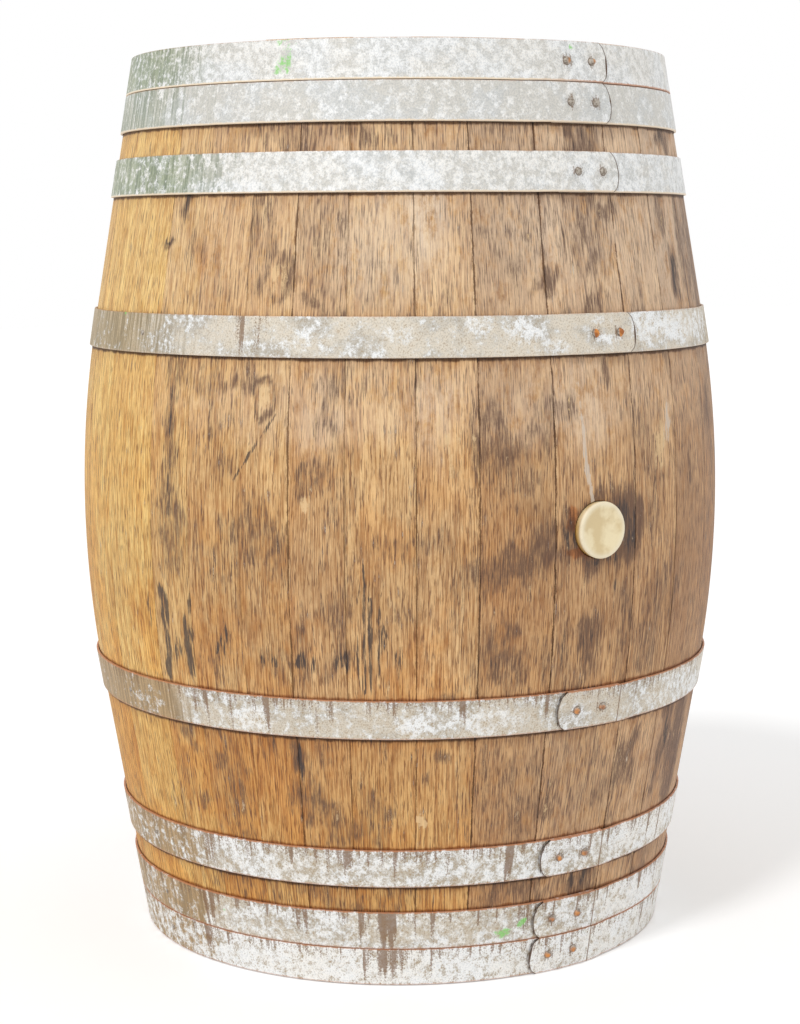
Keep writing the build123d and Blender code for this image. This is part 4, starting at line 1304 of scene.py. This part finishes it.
def stain_edges(piece, name, bearing, along, across):
    """Runs, rust and cream along the edges, a ring of grime and painted shade round each rivet, and the
    distances for the painted shade lines at the lap's tip and step.
    """
    seat, number = SEATS[name], HOOP_NAMES.index(name)
    even = np.ones(len(along))
    above = (-across if seat.upper else across) / MM + HOOP_WIDTH / 2 / MM
    below = HOOP_WIDTH / MM - above
    runs = RUNS.get(name, [])
    if not seat.upper:
        runs = runs + stray(60 + number, 14, HIDDEN_BEARINGS, WIDE_RUNS, RUN_LENGTHS, RUN_STRENGTHS)
        runs = runs + stray(70 + number, 22, SHOWN_BEARINGS, FINE_RUNS, RUN_LENGTHS, RUN_STRENGTHS)
    from_lap = np.radians(turned_from(bearing, seat.lap)) * seat.wound * seat.radius
    on_tongue = (along > math.pi * seat.radius) & (np.abs(from_lap) < 2 * LAP_HALF)
    past_tip = from_lap - LAP_HALF + tip_setback(across)
    to_rivet = np.min([np.hypot(from_lap - side * RIVET_SPACING / 2, across) for side in (-1, 1)], axis=0)
    # a ring round each rivet, grime and painted shade together
    grime_and_shade = GRIME_AND_SHADE_STRENGTH * smooth(1.6 - to_rivet / RIVET_GRIME_AND_SHADE) * on_tongue
    fringe = 0 * even if seat.upper else FRINGE_STRENGTH * smooth(1 - below / FRINGE_LENGTH)
    rusty = LITTLE_RUST * even
    if name == "top_chime_hoop":
        rusty = rising(turned_from(bearing, RUSTY_BEARING), *RUSTY_FADE)
    set_charts(
        piece,
        from_tip=np.clip(np.abs(past_tip) / MM, 0, 50),
        from_step=np.clip((from_lap + LAP_HALF) / MM, -50, 50) + 100 * seat.upper,
        runs=np.max([run_stains(bearing, below, runs), grime_and_shade, fringe], axis=0),
        from_top=below,
        from_foot=above,
        cream=(1 - rusty) * seat.upper * (0.15 if "bilge" in name else 1.0),
        foot_rust=0.8 * rusty if seat.upper else 0.4 * even,
        top_rust=even * (0.35 if seat.upper else 0.85),
    )


# %% Sweep a hoop
STATION = 4 * MM
EDGE_ROUND = 0.5 * MM
TIP_REACH = 30 * MM
HOOP_RIPPLE = 0.14 * MM


def hoop_section():
    """Section of the strip, once round: across and out, from the outer face to the inner one."""
    half, thick, edge = HOOP_WIDTH / 2, HOOP_THICKNESS, EDGE_ROUND
    side = [(half, thick - edge), (half - 0.3 * edge, thick - 0.3 * edge), (half - edge, thick)]
    face = [(across, thick) for across in np.linspace(half - 2.5 * edge, -half + 2.5 * edge, 13)]
    return np.array(side + face + [(-across, out) for across, out in side[::-1]] + [(-half, 0), (half, 0)])


def sweep_hoop(name):
    seat = SEATS[name]
    once_round = 2 * math.pi * seat.radius
    start, stop = -LAP_HALF, once_round + LAP_HALF
    even = np.linspace(start, once_round + JOGGLE_START, round(once_round / STATION))
    joggle = once_round + np.linspace(JOGGLE_START, JOGGLE_END, 11)[1:]
    tongue = once_round + np.linspace(JOGGLE_END, LAP_HALF, 25)[1:]
    stations = np.concatenate([even, joggle, tongue])[:, None]
    section = hoop_section()
    across, out = section[:, 0][None, :], section[:, 1][None, :]
    climb = smooth((stations - once_round - JOGGLE_START) / (JOGGLE_END - JOGGLE_START))
    lift = HOOP_LIFT + (LAP_LIFT - HOOP_LIFT) * climb
    near_tip = smooth(1 - (stop - stations) / TIP_REACH)
    along = stations - near_tip * tip_setback(across)
    wave = HOOP_RIPPLE * (1 + ripple(800 + HOOP_NAMES.index(name), along, across * 4.0))
    points = seat.place(along, across, lift + out + wave * (out > 0))
    rows_and_ring = points.shape[:2]
    hoop = make_piece(f"zinc_{name}", points.reshape(-1, 3), tube_faces(*rows_and_ring), [hoop_zinc])
    stain_hoop(hoop, name, *[np.broadcast_to(values, rows_and_ring).ravel() for values in (along, across)])
    stand_for(hoop, name, "barrel")
    return len(hoop.data.polygons)


print("8 hoops,", sum(sweep_hoop(name) for name in HOOP_NAMES), "faces")

# %% [markdown]
# ## Rivets and nails
# Two rivets hold each lap. A cooper's rivet has a steeple head, a low cone with a blunt point, hammered a
# little out of true, so no two are alike. Their zinc has worn off at the point, which rusts orange, and the
# foot of every head, rivet or nail, is painted dark as shade where it meets the hoop. Small round nails pin
# some hoops to a stave. Both are turned shapes: a profile spun round its axis.

# %% Finish of the rivets and nails
RIVET_DARK, RIVET_LIGHT = (0.24, 0.195, 0.155), (0.50, 0.45, 0.385)
RIVET_FOOT_SHADE = (0.13, 0.085, 0.06)
ORANGE_DARK, ORANGE_LIGHT = (0.40, 0.13, 0.03), (0.72, 0.28, 0.06)


def worn_rivet():
    finish = Finish("worn_rivet")
    place = finish.own_place()
    grit = finish.noise(place, (420, 420, 420), detail=4.0, rough=0.65)
    blots = finish.noise(place, (160, 160, 160), detail=2.0)
    finish.colour = finish.blend(finish.step(grit, 0.42, 0.58), RIVET_DARK, RIVET_LIGHT)
    # painted shade: the foot of each head is darkened where it meets the hoop
    finish.lay(RIVET_FOOT_SHADE, finish.chart("rim"))
    worn = finish.weigh((finish.chart("worn"), 1.0), (grit, 0.4), (blots, 0.3))
    rust = finish.blend(finish.step(blots, 0.4, 0.6), ORANGE_DARK, ORANGE_LIGHT)
    finish.lay(rust, finish.step(worn, 0.66, 1.0))
    return finish.coat(0.62, grit, 0.3 * MM, metal=0.2)


rivet_steel = worn_rivet()

# %% Turn a shape round its axis
RIVET_RADIUS, RIVET_HEIGHT = 4.7 * MM, 4.4 * MM
RIVET_SHANK, RIVET_FOOT = 2.6 * MM, -4 * MM
NAIL_RADIUS, NAIL_HEIGHT = 2.8 * MM, 1.5 * MM
NAIL_SHANK, NAIL_TAPER, NAIL_TIP = 1.1 * MM, -15 * MM, -18 * MM
SIDES = 28
# Radius and height of the steeple head, as shares of its own
STEEPLE = [
    (0.0, 1.0), (0.22, 0.99), (0.40, 0.95), (0.52, 0.86), (0.66, 0.66),
    (0.80, 0.44), (0.93, 0.22), (1.0, 0.08), (0.99, 0.0),
]
SQUASH, TILT = (0.92, 1.0), 0.12


def turned_shape(profile, sides):
    """Points and faces of a profile of radius and height, spun round its axis from top to bottom."""
    turn = np.arange(sides) * 2 * math.pi / sides
    inner = [(r, h) for r, h in profile if r > 0]
    rings = [np.stack([r * np.cos(turn), r * np.sin(turn), np.full(sides, h)], axis=1) for r, h in inner]
    points = np.concatenate([[(0, 0, profile[0][1])], *rings, [(0, 0, profile[-1][1])]])
    last = len(points) - 1
    faces = []
    for k in range(sides):
        n = (k + 1) % sides
        faces.append((0, 1 + k, 1 + n))
        for row in range(len(inner) - 1):
            a, b = 1 + row * sides, 1 + (row + 1) * sides
            faces.append((a + k, b + k, b + n, a + n))
        foot = last - sides
        faces.append((foot + k, last, foot + n))
    return points, faces


def fastener_axes(seat, along):
    """Directions along the hoop, across it and out of it."""
    step = 0.1 * MM
    here = seat.place(along, 0.0, 0.0)
    axes = [seat.place(along + step, 0.0, 0.0), seat.place(along, step, 0.0), seat.place(along, 0.0, step)]
    return [(axis - here) / np.linalg.norm(axis - here) for axis in axes]


def rivet_profile():
    """Steeple head: a blunt top, sloping flanks and a thin rim, above a short shank."""
    profile = [(r * RIVET_RADIUS, h * RIVET_HEIGHT) for r, h in STEEPLE]
    return profile + [(RIVET_SHANK, 0.0), (RIVET_SHANK, RIVET_FOOT), (0.0, RIVET_FOOT)]


def set_fasteners(name, profile, places, worn_of, sink):
    """One mesh with a copy of the turned shape at each place, each a little different."""
    draw = np.random.default_rng(7)
    shape, shape_faces = turned_shape(profile, SIDES)
    all_points, faces, worn, rim = [], [], [], []
    for seat, along, lift, rust in places:
        squash = draw.uniform(*SQUASH, 3)
        tilt = draw.uniform(-TILT, TILT, 2)
        local = shape * squash
        local = local + np.clip(local[:, 2:], 0, None) * np.array([tilt[0], tilt[1], 0])
        axes = fastener_axes(seat, along)
        origin = seat.place(along, 0.0, lift - sink)
        first = sum(len(part) for part in all_points)
        all_points.append(origin + local @ np.array(axes))
        faces += [tuple(first + k for k in face) for face in shape_faces]
        worn.append(worn_of(shape, rust))
        # the rim chart marks the foot of the head, for its painted shade
        rim.append(smooth((0.3 - shape[:, 2] / shape[:, 2].max()) / 0.25))
    piece = make_piece(name, np.concatenate(all_points), faces, [rivet_steel])
    set_charts(piece, worn=np.concatenate(worn), rim=np.concatenate(rim))
    return piece


# %% Set the rivets and nails
RIVET_RUST = {"top_bilge_hoop": 2.2, "top_quarter_hoop": 0.35, "top_collar_hoop": 0.35}
PLAIN_RUST, NAIL_RUST = 0.6, 0.1
RIVET_SINK = 0.1 * MM
LAP_FACE = LAP_LIFT + HOOP_THICKNESS
# How far across its stave each nail sits
NAIL_SHARE = dict.fromkeys(HOOP_NAMES[len(HOOP_KINDS) :], 0.21) | {"top_bilge_hoop": 0.7}
NAILED_STAVES = ("stave_23", "stave_09")


def rivet_wear(shape, rust):
    """Rust at the point of a rivet, and more of it on one side."""
    point = 0.6 * np.clip(shape[:, 2] / RIVET_HEIGHT, 0, 1)
    return rust * (0.2 + point + 0.45 * shape[:, 0] / RIVET_RADIUS)


def nail_wear(shape, rust):
    return np.full(len(shape), rust)


def nail_places():
    """The nails sit in the same two staves as in the CAD, one on either side of the barrel."""
    places = []
    for name, share in NAIL_SHARE.items():
        seat = SEATS[name]
        for left, right in map(stave_span, NAILED_STAVES):
            bearing = left + share * (right - left)
            along = seat.wound * math.radians(float(turned_from(bearing, seat.lap))) * seat.radius
            along = along % (2 * math.pi * seat.radius)
            places.append((seat, along, HOOP_LIFT + HOOP_THICKNESS, NAIL_RUST))
    return places


rivet_places = [
    (seat, side * RIVET_SPACING / 2, LAP_FACE, RIVET_RUST.get(name, PLAIN_RUST))
    for name, seat in SEATS.items()
    for side in (-1, 1)
]
rivets = set_fasteners("hoop_rivet_heads", rivet_profile(), rivet_places, rivet_wear, RIVET_SINK)
stand_for(rivets, "hoop_rivets", "barrel")
dome = np.linspace(0, math.pi / 2, 7)
nail_profile = [(NAIL_RADIUS * math.sin(a), NAIL_HEIGHT * math.cos(a)) for a in dome]
nail_profile += [(NAIL_SHANK, 0.0), (NAIL_SHANK, NAIL_TAPER), (0.0, NAIL_TIP)]
nails = set_fasteners("hoop_nail_heads", nail_profile, nail_places(), nail_wear, 0.0)
stand_for(nails, "hoop_nails", "barrel")
print(len(rivet_places), "rivets and", len(nail_places()), "nails")

# %% [markdown]
# ## The bung
# A cream silicone bung closes the bung hole: a tapered plug with a rounded rim and a face that dips a
# little. It is smooth and slightly glossy, lighter on the rim, and yellowed where the wine crept up its
# edge. It is turned like the rivets, with more sides because it is large in the picture.

# %% Finish and shape of the bung
BUNG_LENGTH = 45 * MM
BUNG_RIM = 5 * MM
BUNG_ROUND = 2.4 * MM
BUNG_DISH = 1.6 * MM
BUNG_SIDES = 96
PALE_FROM, PALE_FADE, PALE_DEPTH = 22 * MM, 4 * MM, 3 * MM
YELLOW_DROP, YELLOW_FADE, YELLOW_SPREAD = 1.6 * MM, 6 * MM, 20 * MM
SILICONE_DARK, SILICONE_LIGHT = (0.74, 0.58, 0.32), (0.91, 0.775, 0.50)
SILICONE_RIM, SILICONE_YELLOW = (0.93, 0.83, 0.62), (0.66, 0.36, 0.06)
SILICONE_SPECK = (0.45, 0.34, 0.2)


def cream_silicone():
    finish = Finish("cream_silicone")
    place = finish.own_place()
    soft = finish.noise(place, (45, 45, 45), detail=3.0)
    specks = finish.noise(place, (700, 700, 700), detail=2.0)
    finish.colour = finish.blend(finish.step(soft, 0.40, 0.60), SILICONE_DARK, SILICONE_LIGHT)
    finish.lay(SILICONE_RIM, finish.chart("rim"))
    finish.lay(SILICONE_YELLOW, finish.chart("yellowed"))
    finish.lay(SILICONE_SPECK, finish.step(specks, 0.62, 0.75, 0.25))
    return finish.coat(finish.plus(finish.times(soft, 0.2), 0.36), soft, 0.2 * MM)


def bung_profile():
    """Radius and height over the bilge, from the middle of the face to the foot."""
    face, dish = BUNG_FACE_RADIUS, BUNG_FACE_RADIUS - BUNG_RIM
    profile = [(dish * s, BUNG_STAND - BUNG_DISH * (1 - s * s)) for s in np.linspace(0, 1, 12)]
    corner = np.linspace(0, math.pi / 2 - BUNG_TAPER, 9)
    axis, level = face - BUNG_ROUND * 1.02, BUNG_STAND - BUNG_ROUND
    profile += [(axis + BUNG_ROUND * math.sin(a), level + BUNG_ROUND * math.cos(a)) for a in corner]
    foot = BUNG_STAND - BUNG_LENGTH
    for stand in np.linspace(BUNG_STAND - 2 * BUNG_ROUND, foot + BUNG_ROUND, 9):
        profile.append((face - (BUNG_STAND - stand) * math.tan(BUNG_TAPER), stand))
    foot_radius = face - BUNG_LENGTH * math.tan(BUNG_TAPER)
    profile += [(foot_radius - 0.7 * MM, foot + 0.7 * MM), (foot_radius - BUNG_ROUND, foot), (0.0, foot)]
    return profile


bung_points, bung_faces = turned_shape(bung_profile(), BUNG_SIDES)
bung_axes = np.array([(1, 0, 0), (0, 0, 1), (0, -1, 0)])
bung_origin = np.array([0, -BILGE_RADIUS, BUNG_HEIGHT])
bung = make_piece("silicone_bung", bung_origin + bung_points @ bung_axes, bung_faces, [cream_silicone()])
from_axis, stand = np.hypot(bung_points[:, 0], bung_points[:, 1]), bung_points[:, 2]
low_left = smooth((-bung_points[:, 1] * 0.8 - bung_points[:, 0] * 0.6) / YELLOW_SPREAD)
below_rim = smooth((BUNG_STAND - YELLOW_DROP - stand) / YELLOW_FADE)
set_charts(
    bung,
    rim=0.75 * smooth((from_axis - PALE_FROM) / PALE_FADE) * (stand > BUNG_STAND - PALE_DEPTH),
    yellowed=np.clip(0.25 * below_rim + 0.7 * low_left * below_rim, 0, 1),
)
stand_for(bung, "bung", "bung")
print("bung with", len(bung_faces), "faces")

# %% [markdown]
# ## The heads
# The heads are the barrel's round ends, boards set edge to edge with pegs between them and a strip of rush
# in each joint. Their CAD shapes are right, so they stay and only get finishes. They have no charts of
# their own: the boards run along Y, so the object's own coordinates say what is across and what is along.

# %% Finish the heads
BOARDS_IN_HEAD = 8
BOARD_NUMBERS = range(1, BOARDS_IN_HEAD + 1)
BOARDS = [f"{side}_head_board_{number}" for side in ("top", "bottom") for number in BOARD_NUMBERS]
HEAD_DARK, HEAD_LIGHT = (0.40, 0.27, 0.155), (0.64, 0.47, 0.30)
HEAD_STAIN = (0.62, 0.56, 0.52)
RUSH_LIGHT, RUSH_DARK = (0.42, 0.35, 0.20), (0.20, 0.16, 0.09)
PEG_LIGHT, PEG_DARK = (0.56, 0.41, 0.25), (0.38, 0.26, 0.15)


def head_oak(number):
    finish = Finish(f"head_oak_{number}")
    place = finish.own_place()
    own_part = (0.31 * number, 0.77 * number, 0.0)
    shifted = finish.add("ShaderNodeVectorMath", {0: place, 1: own_part}, operation="ADD")
    fibre, bands, blotch, pores, _ = oak_figure(finish, shifted)
    tone = finish.step(finish.weigh((fibre, 0.42), (bands, 0.33), (blotch, 0.25)), 0.37, 0.63)
    light = 1.0 - 0.07 * (number * 5 % 4)
    dark, pale = [tuple(c * light for c in colour) for colour in (HEAD_DARK, HEAD_LIGHT)]
    finish.colour = finish.blend(tone, dark, pale)
    finish.lay(CLOUD, finish.step(blotch, 0.45, 0.7, 0.6))
    finish.tint(HEAD_STAIN, finish.step(finish.noise(place, (9, 9, 9), detail=3.0), 0.52, 0.66))
    height = finish.weigh((fibre, 0.7), (bands, 0.4), (pores, -0.4))
    return finish.coat(finish.plus(finish.times(fibre, 0.2), 0.55), height, 0.6 * MM)


def plain_fibre(name, light, dark):
    """Pegs and rush: short fibres in two tones."""
    finish = Finish(name)
    fibre = finish.noise(finish.own_place(), (600, 40, 300), detail=3.0)
    finish.colour = finish.blend(finish.step(fibre, 0.35, 0.65), dark, light)
    return finish.coat(0.75, fibre, 0.3 * MM)


def dress_node(node, finish):
    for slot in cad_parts[node].material_slots:
        slot.material = finish


head_finishes = [head_oak(number) for number in BOARD_NUMBERS]
for number, node in enumerate(BOARDS):
    dress_node(node, head_finishes[(number * 3 + number // BOARDS_IN_HEAD) % BOARDS_IN_HEAD])
dress_node("head_rush_strips", plain_fibre("dried_rush", RUSH_LIGHT, RUSH_DARK))
dress_node("head_dowels", plain_fibre("peg_wood", PEG_LIGHT, PEG_DARK))
print(len(BOARDS), "head boards dressed")
